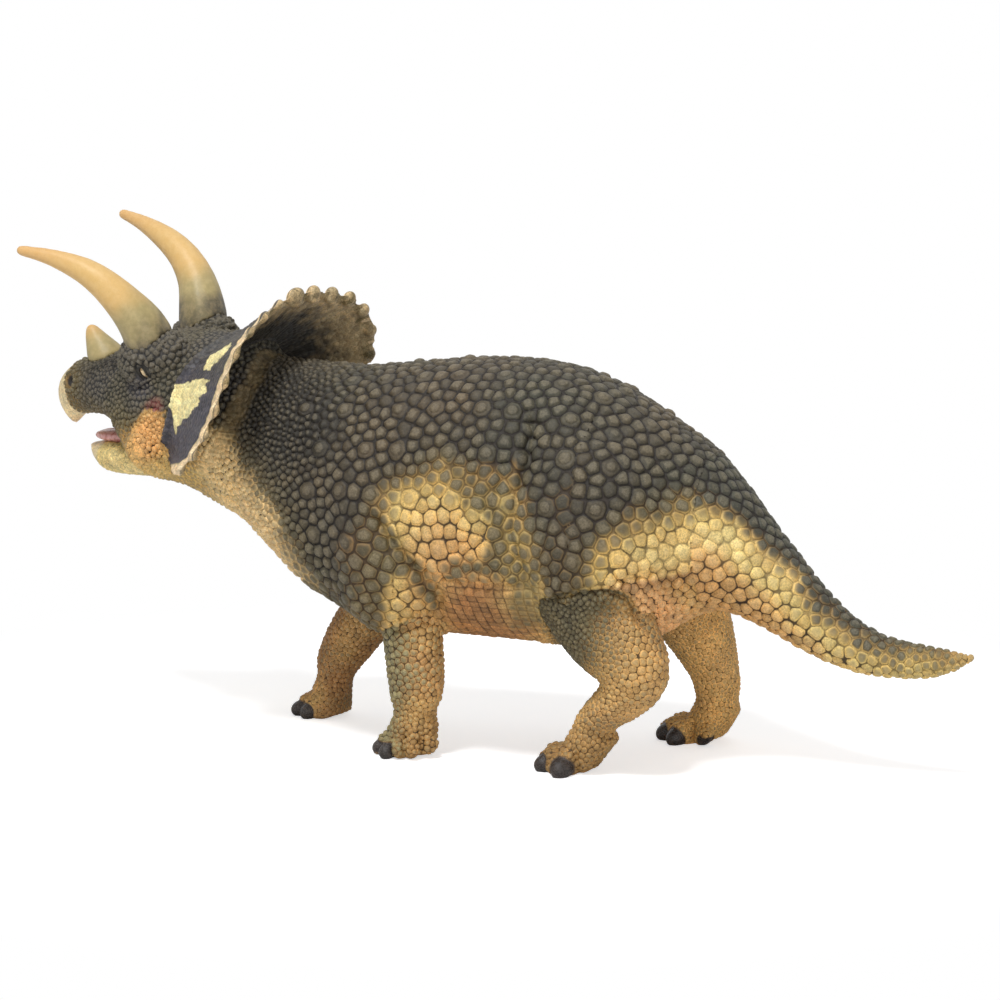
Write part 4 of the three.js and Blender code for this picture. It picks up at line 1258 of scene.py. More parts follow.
def body_paint(points, owner, seen):
    across, down = seen.T
    above = above_edge(points, seen)
    tone = mixed(flat(TAN, points), GOLD, noise(points, 12, 13))
    tone = mixed(tone, ORANGE, 0.3 * step(20, 90, -above) * step(0.3, 0.7, noise(points, 14, 14)))
    tone = mixed(tone, BELLY_BROWN, 0.85 * patch(seen, BELLY_ORANGE))
    tone = mixed(tone, LOBE_TAN, 0.8 * patch(seen, LOBE_ORANGE))
    tone = mixed(tone, YELLOW, 0.55 * bell(above + 12, 26) * step(*YELLOW_START, across))
    bright = bright_share(points, seen)
    tone = mixed(tone, BRIGHT, 0.85 * bright)
    # painted shadow: brown laid just under the fold of the notch
    notch_shadow_gap, _ = from_line(seen, NOTCH_SHADOW_LINE)
    under_notch_shadow = step(0, 4, down - np.interp(across, *NOTCH_SHADOW_LINE.T))
    tone = mixed(tone, BROWN, 0.8 * bell(notch_shadow_gap, 13) * under_notch_shadow)
    tone = mixed(tone, THROAT_CREAM, 0.9 * step(*THROAT_END, across))
    cover = 0.5 + above / np.interp(across, EDGE_COLUMNS, EDGE_SOFTNESS)
    # FLANK_FOLD_SHADE among these lays painted shade over the flank's folds
    for outline, thickness, soft in SPRAYED:
        share = zone(points, seen, outline, soft)
        cover = np.clip(cover, 0, 1)
        cover += (thickness - cover) * share
    cover -= 0.6 * bright
    tint = mixed(flat(DARK, points), DARK_WARM, noise(points, 16, 15))
    tint = mixed(tint, OLIVE, 0.55 * step(40, -10, above))
    # painted shadow of the frill on the neck, laid over the neck's dark paint
    tint = ruffed(mixed(tint, NECK_DARK_AND_SHADOW, patch(seen, NECK_SHADE)), points, owner, seen)
    leg = leg_share(owner, seen)
    if leg.any():
        leg *= leg_cut(points, seen)
        leg_tone, leg_tint, leg_cover = leg_paint(points, owner, seen)
        tone = mixed(tone, leg_tone, leg)
        tint = mixed(tint, leg_tint, leg)
        cover = cover + (leg_cover - cover) * leg
    return tone, tint, cover


def tail_paint(points, owner, seen):
    across = seen[:, 0]
    above = above_edge(points, seen)
    tone = mixed(flat(TAN, points), GOLD, noise(points, 10, 17))
    tone = mixed(tone, YELLOW, 0.7 * bell(above + 12, 18))
    bright = bright_share(points, seen)
    tone = mixed(tone, BRIGHT, 0.85 * bright)
    tone = mixed(tone, ORANGE, 0.35 * step(20, 45, -above))
    cover = (0.5 + above / 50 - 0.6 * bright) * step(*TAIL_TIP_COLUMNS, across)
    tint = mixed(flat(DARK, points), OLIVE, 0.8 * step(*TAIL_OLIVE_COLUMNS, across))
    return tone, tint, cover


def leg_paint(points, owner, seen):
    across, down = seen.T
    height = points[:, 2]
    tone = mixed(flat(TAN, points), GOLD, noise(points, 7, 18))
    tone = mixed(tone, ORANGE, 0.25 * step(0.45, 0.75, noise(points, 9, 19)))
    tone = mixed(tone, BROWN, 0.65 * (owner == RIGHT_FORE) * step(0.3, 0.65, noise(points, 8, 20)))
    # the far hind leg is lifted towards a brighter gold, painted light against the shade that it lies in
    tone = mixed(tone, FAR_LIT_GOLD, 0.85 * (owner == RIGHT_HIND) * step(0.75, 0.3, noise(points, 9, 20)))
    ragged = noise(points, 6, 21) - 0.5
    is_fore = (owner == LEFT_FORE) | ((owner == BODY) & (across < LEG_PARTING))
    is_hind = (owner == LEFT_HIND) | ((owner == BODY) & (across >= LEG_PARTING))
    fore = np.interp(down, FORE_ROWS, FORE_COLUMNS)
    front = (0.5 + (fore - across) / 40 + 0.5 * ragged) * is_fore
    hind = np.interp(down, HIND_ROWS, HIND_COLUMNS)
    shade = (0.5 + (hind - across) / 70 + 0.5 * ragged) * is_hind
    shade *= 0.55 + 0.45 * step(*SHIN_ROWS, down)
    cover = np.maximum(0.92 * np.clip(front, 0, 1), 0.9 * np.clip(shade, 0, 1))
    # painted shade along the crease at the hind leg's rear edge
    crease, _ = from_line(seen, LEG_REAR_CREASE_SHADE)
    cover = np.maximum(cover, 0.45 * bell(crease, 9) * is_hind)
    top = step(*FAR_FORE_TOP, height) * step(0.2, 0.6, noise(points, 6, 23))
    cover = np.maximum(cover, 0.7 * top * (owner == RIGHT_FORE))
    # painted shadow that the thigh casts on the top of the far hind leg
    thigh_shadow = step(*THIGH_SHADOW_COLUMNS, across) * step(*THIGH_SHADOW_HEIGHTS, height)
    cover = np.maximum(cover, 0.75 * thigh_shadow * (owner == RIGHT_HIND))
    cover = np.maximum(cover, 0.42 * noise(points, 4, 29))
    near_foot = step(*FOOT_HEIGHTS, height) * np.isin(owner, (LEFT_FORE, LEFT_HIND))
    tone = mixed(tone, FOOT_TAN, 0.75 * near_foot)
    claw = claw_share(points, owner)
    tone, cover = mixed(tone, HOOF, claw), cover * (1 - claw)
    tint = mixed(flat(DARK, points), OLIVE, 0.35 + 0.5 * noise(points, 5, 24))
    return tone, mixed(tint, GREY_GREEN, 0.75 * is_fore), cover


def head_paint(points, owner, seen):
    places = face_places(points)
    ahead, _, up = places.T
    ragged = noise(points, 3.5, 25) - 0.5
    tint = mixed(flat(FACE_DARK, points), SLATE, 0.35 * step(0.3, 0.7, noise(points, 8, 26)))
    muzzle = step(*MUZZLE_AHEAD, ahead + 3 * ragged) * step(*MUZZLE_UP, up)
    olive = np.maximum(0.75 * muzzle, 0.7 * step(*OLIVE_UP, up + 3 * ragged))
    tint = mixed(tint, OLIVE, olive)
    tint = mixed(tint, MAROON, 0.75 * patch(seen, CHEEK_MAROON))
    tint = mixed(tint, SLATE, 0.6 * patch(seen, EYE_SLATE))
    # painted shadow of the frill on the neck, laid over the neck's dark paint
    tint = ruffed(mixed(tint, NECK_DARK_AND_SHADOW, patch(seen, NECK_SHADE)), points, owner, seen)
    tone = mixed(flat(GOLD, points), CHEEK_TAN, 0.8 * patch(seen, CHEEK_ORANGE))
    tone = mixed(tone, YELLOW, 0.4 * step(*CHIN_UP, up))
    tone = mixed(tone, THROAT_CREAM, 0.75 * step(*THROAT_AHEAD, ahead))
    low = step(*LOW_UP, up + 0.12 * (ahead - 20) + 4 * ragged)
    low = np.maximum(low, zone(points, seen, CHEEK, 4))
    low *= 1 - 0.33 * (1 - zone(points, seen, CHEEK, 6)) * step(*CHEEK_END, ahead)
    neck = step(*NECK_AHEAD, ahead)
    cover = (1 - low) * (1 - neck) + neck * np.clip(0.5 + above_edge(points, seen) / 30, 0, 1)
    lips = step(*LIPS_UP, up + 2 * ragged) * step(*LIPS_AHEAD, ahead)
    beak = beak_share(points, owner)
    tone = mixed(tone, CREAM, np.maximum(lips, beak))
    tone = mixed(tone, MUZZLE_OLIVE, 0.9 * beak * step(*BEAK_TOP, up))
    tone = mixed(tone, ORANGE, 0.5 * beak * step(*BEAK_FOOT, up))
    cover = np.minimum(cover, 1 - 0.6 * lips)
    cover = cover * (1 - beak) * (1 - 0.3 * muzzle)
    pit = step(1.7, 1.1, away_from(NOSTRIL, places))
    tint = mixed(tint, NOSTRIL_DARK, pit)
    tone = mixed(tone, NOSTRIL_DARK, pit)
    cover = np.maximum(cover, pit)
    gap = eye_gap(places)
    near_eye = away_from(EYE, places) < EYE_REACH
    eye = step(1.1, 0.95, gap) * near_eye
    rim = bell(gap - 1.15, 0.22) * near_eye
    tint = mixed(tint, NOSTRIL_DARK, 0.8 * rim)
    tone = mixed(tone, EYE_PALE, eye)
    return tone, tint, cover * (1 - 1.2 * eye)


def jaw_paint(points, owner, seen):
    ahead, side, up = in_head(points).T
    beak = beak_share(points, owner)
    tone = mixed(flat(YELLOW, points), CREAM, np.maximum(0.6 * noise(points, 5, 37), beak))
    mouth = step(0.35, 0.8, (up + 11) / 2) * step(3.8, 2.8, np.abs(side))
    tone = mixed(tone, MOUTH, 0.8 * mouth * step(*MOUTH_END, ahead))
    cover = 0.3 * step(0.3, 0.7, noise(points, 3, 27)) * (1 - beak) * (1 - mouth)
    return tone, flat(OLIVE, points), cover


def frill_paint(points, seen, normals):
    turn, share = on_frill(points)
    forward = (in_head(points + normals) - in_head(points))[:, 0]
    top_rim = step(0.74, 0.8, share) * step(0.35, 0.1, turn)
    front = step(-0.5 + 0.6 * top_rim, -0.25 + 0.6 * top_rim, forward)
    front = np.maximum(front, step(0.16, 0.06, share))
    ragged = noise(points, 1.6, 28) - 0.5
    sideways = step(0.3, 0.9, turn)
    lip = step(0.87, 0.92, share + 0.04 * ragged)
    lip *= step(0.25 - 0.6 * sideways, 0.55 - 0.6 * sideways, forward)
    foot = patch(seen, FRILL_FOOT)
    light = step(-1.5, 1.5, inside(seen, FRILL_PATCH_LOW) + 4.5 * ragged)
    light = np.maximum(light, step(-1.5, 1.5, inside(seen, FRILL_PATCH_HIGH) + 3.5 * ragged))
    light = np.maximum.reduce([light * front, foot * front, lip])
    tone = mixed(flat(PALE, points), PINK, np.maximum(foot, lip))
    face = mixed(flat(SLATE, points), DARK, 0.5 * step(8, 16, in_head(points)[:, 2]))
    worn = step(0.42, 0.95, share + 0.3 * ragged + 0.3 * sideways)
    rear = mixed(flat(REAR_DARK, points), FRILL_BROWN, worn)
    tint = rear + (face - rear) * front[:, None]
    tone = mixed(flat(OLIVE, points), tone, light)
    grain = striations(points)
    cover = np.where(front < 0.5, 1 - 0.35 * step(0.55, 0.95, grain), 1.2)
    return tone, tint, cover * (1 - light)


# Materials

WASH_STAIN = (0.09, 0.06, 0.04, 1)  # multiplies the paint under the wash
WASH_DARK = (0.011, 0.008, 0.005, 1)
BRUSH_TINT = (0.62, 0.52, 0.34, 1)
HORN_DOTS = (0.45, 0.28, 0.12, 1)
HORN_BANDS = (0.86, 0.66, 0.36, 1)
TONGUE_DARK = (0.56, 0.2, 0.17, 1)
TONGUE_LIGHT = (0.8, 0.42, 0.38, 1)


def new_material(name):
    """A material with its node tree and its shader."""
    material = bpy.data.materials.new(name)
    material.use_nodes = True
    return material, material.node_tree, material.node_tree.nodes["Principled BSDF"]


def add_bump(tree, shader, height, strength, distance):
    bump = add_node(tree, "ShaderNodeBump", Strength=strength, Distance=distance)
    tree.links.new(height, bump.inputs["Height"])
    tree.links.new(bump.outputs["Normal"], shader.inputs["Normal"])


def fill(tree, socket, value):
    """Links a socket's value to an input, or sets a plain one on it."""
    if isinstance(value, bpy.types.NodeSocket):
        tree.links.new(value, socket)
    else:
        socket.default_value = value


def add_node(tree, kind, **settings):
    node = tree.nodes.new(kind)
    for name, value in settings.items():
        if name in node.inputs:
            node.inputs[name].default_value = value
        else:
            setattr(node, name, value)
    return node


def group_sockets(group, inputs, outputs):
    for name, kind, value in inputs:
        socket = group.interface.new_socket(name, in_out="INPUT", socket_type=kind)
        socket.default_value = value
    for name, kind in outputs:
        group.interface.new_socket(name, in_out="OUTPUT", socket_type=kind)
    return group.nodes.new("NodeGroupInput"), group.nodes.new("NodeGroupOutput")


def mix_colours(tree, first, second, share, blend="MIX"):
    node = add_node(tree, "ShaderNodeMix", data_type="RGBA", blend_type=blend)
    for place, value in ((6, first), (7, second), (0, share)):
        fill(tree, node.inputs[place], value)
    return node.outputs[2]


def maths(tree, operation, *values):
    node = add_node(tree, "ShaderNodeMath", operation=operation)
    for socket, value in zip(node.inputs, values):
        fill(tree, socket, value)
    return node.outputs[0]


def spread(tree, value, low, high, to_low=0.0, to_high=1.0):
    node = add_node(tree, "ShaderNodeMapRange", interpolation_type="SMOOTHSTEP")
    tree.links.new(value, node.inputs["Value"])
    for name, number in (("From Min", low), ("From Max", high), ("To Min", to_low), ("To Max", to_high)):
        node.inputs[name].default_value = number
    return node.outputs["Result"]


def fine_noise(tree, scale, detail=4.0, rough=0.6, stretch=(1, 1, 1)):
    coordinates = add_node(tree, "ShaderNodeTexCoord")
    mapping = add_node(tree, "ShaderNodeMapping")
    mapping.inputs["Scale"].default_value = stretch
    tree.links.new(coordinates.outputs["Object"], mapping.inputs["Vector"])
    node = add_node(tree, "ShaderNodeTexNoise", Scale=scale, Detail=detail, Roughness=rough)
    tree.links.new(mapping.outputs["Vector"], node.inputs["Vector"])
    return node.outputs["Fac"]


def painted_skin_group():
    """Undercoat, dark spray over the crowns, a wash that pools in the grooves, and fine wrinkles."""
    group = bpy.data.node_groups.new("painted_skin", "ShaderNodeTree")
    start, end = group_sockets(
        group,
        [("Undercoat", "NodeSocketColor", (0.5, 0.5, 0.5, 1)),
         ("Spray", "NodeSocketColor", (0.1, 0.1, 0.1, 1)),
         ("Cover", "NodeSocketFloat", 1.0), ("Crown", "NodeSocketFloat", 1.0),
         ("Chance", "NodeSocketFloat", 0.5), ("Bare", "NodeSocketFloat", 0.0),
         ("Gloss", "NodeSocketFloat", 0.0), ("Washed", "NodeSocketFloat", 1.0),
         ("Wash", "NodeSocketFloat", 0.9), ("Brush", "NodeSocketFloat", 0.35)],
        [("Color", "NodeSocketColor"), ("Roughness", "NodeSocketFloat"), ("Height", "NodeSocketFloat")],
    )
    crown, chance, bare = (start.outputs[name] for name in ("Crown", "Chance", "Bare"))
    speckle = fine_noise(group, 2600, 3)
    mottle = fine_noise(group, 420, 4)
    # the spray takes on the crowns first
    catch = maths(group, "MULTIPLY", maths(group, "SUBTRACT", crown, 0.62), 0.55)
    for source, share in ((mottle, 0.5), (speckle, 0.35), (chance, 0.15)):
        centred = maths(group, "SUBTRACT", source, 0.5)
        catch = maths(group, "ADD", catch, maths(group, "MULTIPLY", centred, share))
    laid = spread(group, maths(group, "ADD", start.outputs["Cover"], catch), 0.22, 0.78)
    tone = mix_colours(group, start.outputs["Undercoat"], start.outputs["Spray"], laid)
    light = maths(group, "MULTIPLY_ADD", chance, 0.4, 0.78)
    grain = spread(group, speckle, 0.3, 0.7, 0.72, 1.26)
    cloud = spread(group, mottle, 0.3, 0.7, 0.84, 1.12)
    light = maths(group, "MULTIPLY", light, maths(group, "MULTIPLY", grain, cloud))
    warm = maths(group, "FRACT", maths(group, "MULTIPLY", chance, 7.0))
    shade = add_node(group, "ShaderNodeCombineColor")
    for channel, low, high in zip(shade.inputs, (0.97, 1.0, 1.04), (1.05, 1.0, 0.95)):
        warmth = spread(group, warm, 0.0, 1.0, low, high)
        group.links.new(maths(group, "MULTIPLY", light, warmth), channel)
    tone = mix_colours(group, tone, shade.outputs[0], 1.0, "MULTIPLY")
    # thin dark wash that pools in the grooves
    uneven = maths(group, "MULTIPLY_ADD", mottle, 0.24, -0.12)
    thick = maths(group, "MULTIPLY", start.outputs["Cover"], -0.14)
    depth = maths(group, "ADD", maths(group, "ADD", crown, uneven), thick)
    pooled = spread(group, depth, 0.02, 0.36, 1.0, 0.0)
    dry = maths(group, "SUBTRACT", 1.0, bare)
    pooled = maths(group, "MULTIPLY", pooled, maths(group, "MULTIPLY", dry, start.outputs["Wash"]))
    pooled = maths(group, "MULTIPLY", pooled, start.outputs["Washed"])
    washed = mix_colours(group, tone, WASH_STAIN, 1.0, "MULTIPLY")
    washed = mix_colours(group, washed, WASH_DARK, 0.75)
    tone = mix_colours(group, tone, washed, pooled)
    # dry brush that catches the crowns
    worn = maths(group, "ADD", crown, maths(group, "MULTIPLY", speckle, 0.4))
    brushed = spread(group, worn, 1.0, 1.35, 0.0, 1.0)
    brushed = maths(group, "MULTIPLY", brushed, maths(group, "MULTIPLY", dry, start.outputs["Brush"]))
    tone = mix_colours(group, tone, mix_colours(group, tone, BRUSH_TINT, 0.3), brushed)
    group.links.new(tone, end.inputs["Color"])
    rough = spread(group, speckle, 0.3, 0.7, 0.44, 0.6)
    rough = maths(group, "SUBTRACT", rough, maths(group, "MULTIPLY", start.outputs["Gloss"], 0.24))
    group.links.new(rough, end.inputs["Roughness"])
    pits = fine_noise(group, 5200, 2)
    group.links.new(maths(group, "MULTIPLY_ADD", mottle, 0.5, pits), end.inputs["Height"])
    return group


def attribute(tree, name, output="Fac"):
    node = add_node(tree, "ShaderNodeAttribute", attribute_name=name)
    return node.outputs[output]


# What each point of a skin carries, and the group's input that reads it
COLOUR_LAYERS = {"undercoat": "Undercoat", "spray": "Spray"}
SHARE_LAYERS = {
    "cover": "Cover", "crown": "Crown", "chance": "Chance", "bare": "Bare", "gloss": "Gloss",
    "wash": "Washed",
}


def skin_material(name, wash, brush, bump):
    material, tree, shader = new_material(name)
    shader.inputs["Specular IOR Level"].default_value = 0.35
    skin = add_node(tree, "ShaderNodeGroup", node_tree=skin_group)
    skin.inputs["Wash"].default_value = wash
    skin.inputs["Brush"].default_value = brush
    for layer, socket in COLOUR_LAYERS.items():
        tree.links.new(attribute(tree, layer, "Color"), skin.inputs[socket])
    for layer, socket in SHARE_LAYERS.items():
        tree.links.new(attribute(tree, layer), skin.inputs[socket])
    tree.links.new(skin.outputs["Color"], shader.inputs["Base Color"])
    tree.links.new(skin.outputs["Roughness"], shader.inputs["Roughness"])
    add_bump(tree, shader, skin.outputs["Height"], 0.6, bump)
    return material


# Finished pieces from the skin

def store(piece, name, values, kind="FLOAT"):
    layer = piece.data.attributes.new(name, kind, "POINT")
    if kind == "FLOAT_COLOR":
        values = np.concatenate([values, np.ones((len(values), 1))], axis=1)
    slot = {"FLOAT": "value", "FLOAT_COLOR": "color", "FLOAT_VECTOR": "vector"}[kind]
    layer.data.foreach_set(slot, np.asarray(values, np.float32).ravel())


def read(piece, name):
    values = np.empty(len(piece.data.vertices) * 3, np.float32)
    piece.data.attributes[name].data.foreach_get("vector", values)
    return values.reshape(-1, 3).astype(float)


def part_off(name, label, points, normals, faces, face_owner):
    """The faces of one casting as a piece of their own, still open where it meets its neighbours."""
    own = faces[face_owner == label]
    used, index = np.unique(own, return_inverse=True)
    mesh = bpy.data.meshes.new(name)
    mesh.from_pydata(points[used].tolist(), [], index.reshape(own.shape).tolist())
    piece = bpy.data.objects.new(name, mesh)
    bpy.context.collection.objects.link(piece)
    store(piece, "form_normal", normals[used], "FLOAT_VECTOR")
    return piece


def refine(piece, wanted):
    """Splits the wanted edges in two, away from the piece's open ends."""
    edges = edges_of(piece)
    faces_at = np.zeros(len(edges), int)
    loops = np.empty(len(piece.data.loops), np.int32)
    piece.data.loops.foreach_get("edge_index", loops)
    np.add.at(faces_at, loops, 1)
    at_end = np.zeros(len(piece.data.vertices), bool)
    at_end[edges[faces_at < 2].ravel()] = True
    chosen = wanted[edges].all(axis=1) & ~at_end[edges].any(axis=1)
    edit(piece, BY_EDGES, SELECT_NONE)
    piece.data.edges.foreach_set("select", chosen)
    edit(piece, (bpy.ops.mesh.subdivide, {"number_cuts": 1, "smoothness": 0}))


def close_ends(piece):
    """Caps the open ends, with a sharp edge so that the caps don't shade the skin."""
    before = len(piece.data.polygons)
    open_edges = (bpy.ops.mesh.select_non_manifold, {"extend": False})
    edit(piece, BY_EDGES, SELECT_NONE, open_edges, (bpy.ops.mesh.fill_holes, {"sides": 0}))
    mesh = piece.data
    smooth = np.ones(len(mesh.polygons), bool)
    smooth[before:] = False
    mesh.polygons.foreach_set("use_smooth", smooth)
    sharp = np.zeros(len(mesh.edges), bool)
    for polygon in list(mesh.polygons)[before:]:
        for loop in polygon.loop_indices:
            sharp[mesh.loops[loop].edge_index] = True
    layer = mesh.attributes.new("sharp_edge", "BOOLEAN", "EDGE")
    layer.data.foreach_set("value", sharp)


PAINTERS = {
    BODY: body_paint, TAIL: tail_paint, HEAD: head_paint, JAW: jaw_paint,
    LEFT_FORE: leg_paint, RIGHT_FORE: leg_paint, LEFT_HIND: leg_paint, RIGHT_HIND: leg_paint,
}


def finish_piece(piece, node, slot, material):
    """Turns a piece into metres, gives it its material, hangs it on the root and hides its CAD node."""
    piece.data.transform(Matrix.Scale(MM, 4))
    piece.data.materials.clear()
    piece.data.materials.append(material)
    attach(piece, "root")
    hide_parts(node)


def scaled_piece(name, key, label, scales, source, slot, material, fine):
    """The piece of a casting, or of a slice with a key of its own, with its scales and paint."""
    piece = part_off(name, key, *source)
    for choose in fine:
        refine(piece, choose(places_of(piece)))
    points = places_of(piece)
    normals = unit(read(piece, "form_normal"))
    owner = np.full(len(points), label)
    seen = seen_at(points, owner)
    spacing = VOXEL / 2 if fine else VOXEL
    moved, crown, chance, bare = relief(points, normals, owner, seen, scales, spacing)
    if label in LEGS:
        moved[:, 2] = np.maximum(moved[:, 2], 0)
    if label == FRILL:
        even = unit(relaxed(normals, edges_of(piece), np.full(len(points), 0.7), 24))
        undercoat, spray, cover = frill_paint(points, seen, even)
    else:
        undercoat, spray, cover = PAINTERS[label](points, owner, seen)
    set_places(piece, moved)
    piece.data.attributes.remove(piece.data.attributes["form_normal"])
    store(piece, "undercoat", np.clip(undercoat, 0, 1), "FLOAT_COLOR")
    store(piece, "spray", np.clip(spray, 0, 1), "FLOAT_COLOR")
    store(piece, "cover", np.clip(cover, 0, FULL_COVER))
    # half-covered skin and the brightest patches take less of the wash
    wash = 1 - (0.15 if label in LEGS else 0.5) * bell(cover - 0.42, 0.22)
    if label in (BODY, TAIL):
        wash *= 1 - 0.55 * np.clip(1.6 * bright_share(points, seen), 0, 1)
    store(piece, "wash", wash * (1 - 0.25 * belly_share(owner, seen)))
    store(piece, "gloss", gloss_share(points, owner))
    for layer, values in (("crown", crown), ("chance", chance), ("bare", bare)):
        store(piece, layer, values)
    close_ends(piece)
    finish_piece(piece, SKIN_NODES[label], slot, material)


def everywhere(points):
    return np.ones(len(points), bool)


def by_eye(points):
    places = face_places(points)
    eye, nostril = (away_from(place, places) for place in (EYE, NOSTRIL))
    return (eye < 4.5) | (nostril < 3)


# The skins of the body, the head and the frill are made in slices, so that each can be fine
NECK_SLICE = -6
FAR_WING_SLICE = -7
BODY_SLICES = ["shoulder_skin", "chest_skin", "flank_skin", "thigh_skin", "rump_skin"]
BODY_CUTS = MIDDLE_X + np.array([-31.4, -11.1, 10.4, 30.9])
NECK_CUT = 12.5
# Each piece's name, its key among the faces, and the casting it belongs to
SKIN_PIECES = [
    *[(name, -1 - i, BODY) for i, name in enumerate(BODY_SLICES)],
    ("neck_skin", NECK_SLICE, HEAD), ("head_skin", HEAD, HEAD), ("tail_skin", TAIL, TAIL),
    ("near_wing_skin", FRILL, FRILL), ("far_wing_skin", FAR_WING_SLICE, FRILL),
    ("jaw_skin", JAW, JAW),
    *[(f"{SKIN_NODES[label]}_skin", label, label) for label in LEGS],
]
SKIN_SLOTS = {
    BODY: "body_skin", TAIL: "body_skin", HEAD: "head_skin", FRILL: "frill_skin", JAW: "jaw_skin",
    **{label: "leg_skin" for label in LEGS},
}
# How strong each skin's wash and dry brush are, and how deep its fine wrinkles are in metres
SKIN_LOOKS = {
    "body_skin": (0.97, 0.55, 0.0002),
    "leg_skin": (0.9, 0.6, 0.0002),
    "head_skin": (1.0, 0.7, 0.0002),
    "jaw_skin": (0.45, 0.3, 0.0001),
    "frill_skin": (0.6, 0.3, 0.00008),
}
# How hard the skin is drawn even, and for how many rounds
GENTLE = {HEAD: 0.3, JAW: 0.25, FRILL: 0.12}
FOOT_TOP = 9
BROAD_ROUNDS = 110
FINE_ROUNDS = 24


def model_skin():
    skin = joined_skin()
    points, edges = places_of(skin), edges_of(skin)
    owner = nearest_node(points, edges)
    rest = np.full(len(points), 0.5)
    for label, value in GENTLE.items():
        rest[owner == label] = value
    rest[np.isin(owner, LEGS) & (points[:, 2] < FOOT_TOP)] = 0.12
    turn, share = on_frill(points)
    rest[(owner == FRILL) & (share > 0.82) & (turn > 0.12)] = 0.5
    broad = np.where(owner == BODY, 0.6, 0.0)
    broad[owner == TAIL] = 0.4
    broad[(owner == HEAD) & (in_head(points)[:, 0] < 0)] = 0.4
    points = relaxed(points, edges, broad, BROAD_ROUNDS)
    points = relaxed(points, edges, rest, FINE_ROUNDS)
    set_places(skin, points)
    normals = normals_of(skin)
    seen = seen_at(points, owner)
    rise = fold_skin(points, normals, owner, seen) + shape_head(points, owner)
    points = points + normals * rise[:, None]
    points = relaxed(points, edges, np.full(len(points), 0.3), 2)
    points = shape_feet(points, owner)
    for knob in knobs():
        drawn_to_ball(points, away_from(knob[0], points) < 4, knob, 0.3)
    lowest = points[np.isin(owner, LEGS), 2].min()
    points[:, 2] -= lowest * step(5, 0, points[:, 2])
    set_places(skin, points)
    normals = unit(relaxed(normals_of(skin), edges, np.full(len(points), 0.5), 4))
    faces = np.empty(len(skin.data.loops), np.int32)
    skin.data.loops.foreach_get("vertex_index", faces)
    faces = faces.reshape(-1, 4)
    face_owner = np.sort(owner[faces], axis=1)[:, 1]
    middle = points[faces].mean(axis=1)
    on_body = face_owner == BODY
    face_owner[on_body] = -1 - np.searchsorted(BODY_CUTS, middle[on_body, 0])
    ahead, side, _ = in_head(middle).T
    face_owner[(face_owner == HEAD) & (ahead < NECK_CUT)] = NECK_SLICE
    face_owner[(face_owner == FRILL) & (side < 0)] = FAR_WING_SLICE
    seen = seen_at(points, owner)
    scales = Scales(points, owner, seen)
    scales.spread_out(points, 14)
    scales.settle(points, 2)
    source = (points, normals, faces, face_owner)
    materials = {slot: skin_material(f"painted_{slot}", *looks) for slot, looks in SKIN_LOOKS.items()}
    for name, key, label in SKIN_PIECES:
        fine = [everywhere, by_eye] if key == HEAD else [everywhere]
        slot = SKIN_SLOTS[label]
        scaled_piece(name, key, label, scales, source, slot, materials[slot], fine)
    bpy.data.objects.remove(skin)


# Horns and tongue

def horn_material():
    material, tree, shader = new_material("painted_horn")
    shader.inputs["Specular IOR Level"].default_value = 0.4
    speckle = fine_noise(tree, 3000, 3)
    streak = fine_noise(tree, 700, 3)
    dots = spread(tree, speckle, 0.45, 0.75, 0.0, 0.22)
    tone = mix_colours(tree, attribute(tree, "paint", "Color"), HORN_DOTS, dots)
    bands = spread(tree, streak, 0.35, 0.7, 0.0, 0.16)
    tone = mix_colours(tree, tone, HORN_BANDS, bands)
    tree.links.new(tone, shader.inputs["Base Color"])
    tree.links.new(spread(tree, speckle, 0.3, 0.7, 0.42, 0.55), shader.inputs["Roughness"])
    add_bump(tree, shader, streak, 0.35, 0.00008)
    return material


HORN_TIP = colour("d8a86c")
HORN_MIDDLE = colour("d9b270")
HORN_GREEN = colour("a8996a")
HORN_BASE = colour("4f4c40")


# Node, foot in the head's frame, length, and where along it the colours fade into one another
HORNS = [
    ("left_brow_horn", HORN_FOOT, 40, (0.12, 0.22, 0.36)),
    ("right_brow_horn", np.multiply(HORN_FOOT, (1, -1, 1)), 42, (0.12, 0.22, 0.37)),
    ("nose_horn", (39.8, 0, 8.0), 11, (0.2, 0.42, 0.9)),
]


def smooth_form(node, size, rounds):
    """A smooth copy of a small casting."""
    piece = cad_copy(node)
    remesh(piece, size)
    piece = keep_largest(piece)
    points, edges = places_of(piece), edges_of(piece)
    points = relaxed(points, edges, np.full(len(points), 0.5), rounds)
    set_places(piece, points)
    points = points + 0.12 * normals_of(piece)
    set_places(piece, points)
    return piece, points


def finish_smooth(piece, name, node, slot, material):
    piece.name = name
    piece.data.polygons.foreach_set("use_smooth", [True] * len(piece.data.polygons))
    finish_piece(piece, node, slot, material)


def add_horn(node, base, length, fades, material):
    """A horn whose dark base turns grey-green, then cream, at these shares of its length."""
    piece, points = smooth_form(node, 0.4, 14)
    foot = from_head(base)
    share = away_from(foot, points) / length
    share += 0.08 * (noise(points, 3, 31) - 0.5)
    tone = mixed(flat(HORN_BASE, points), HORN_GREEN, step(*fades[:2], share))
    tone = mixed(tone, HORN_MIDDLE, step(*fades[1:], share))
    tone = mixed(tone, HORN_TIP, 0.8 * step(0.5, 0.95, share))
    store(piece, "paint", tone, "FLOAT_COLOR")
    finish_smooth(piece, f"{node}_shell", node, "horn", material)


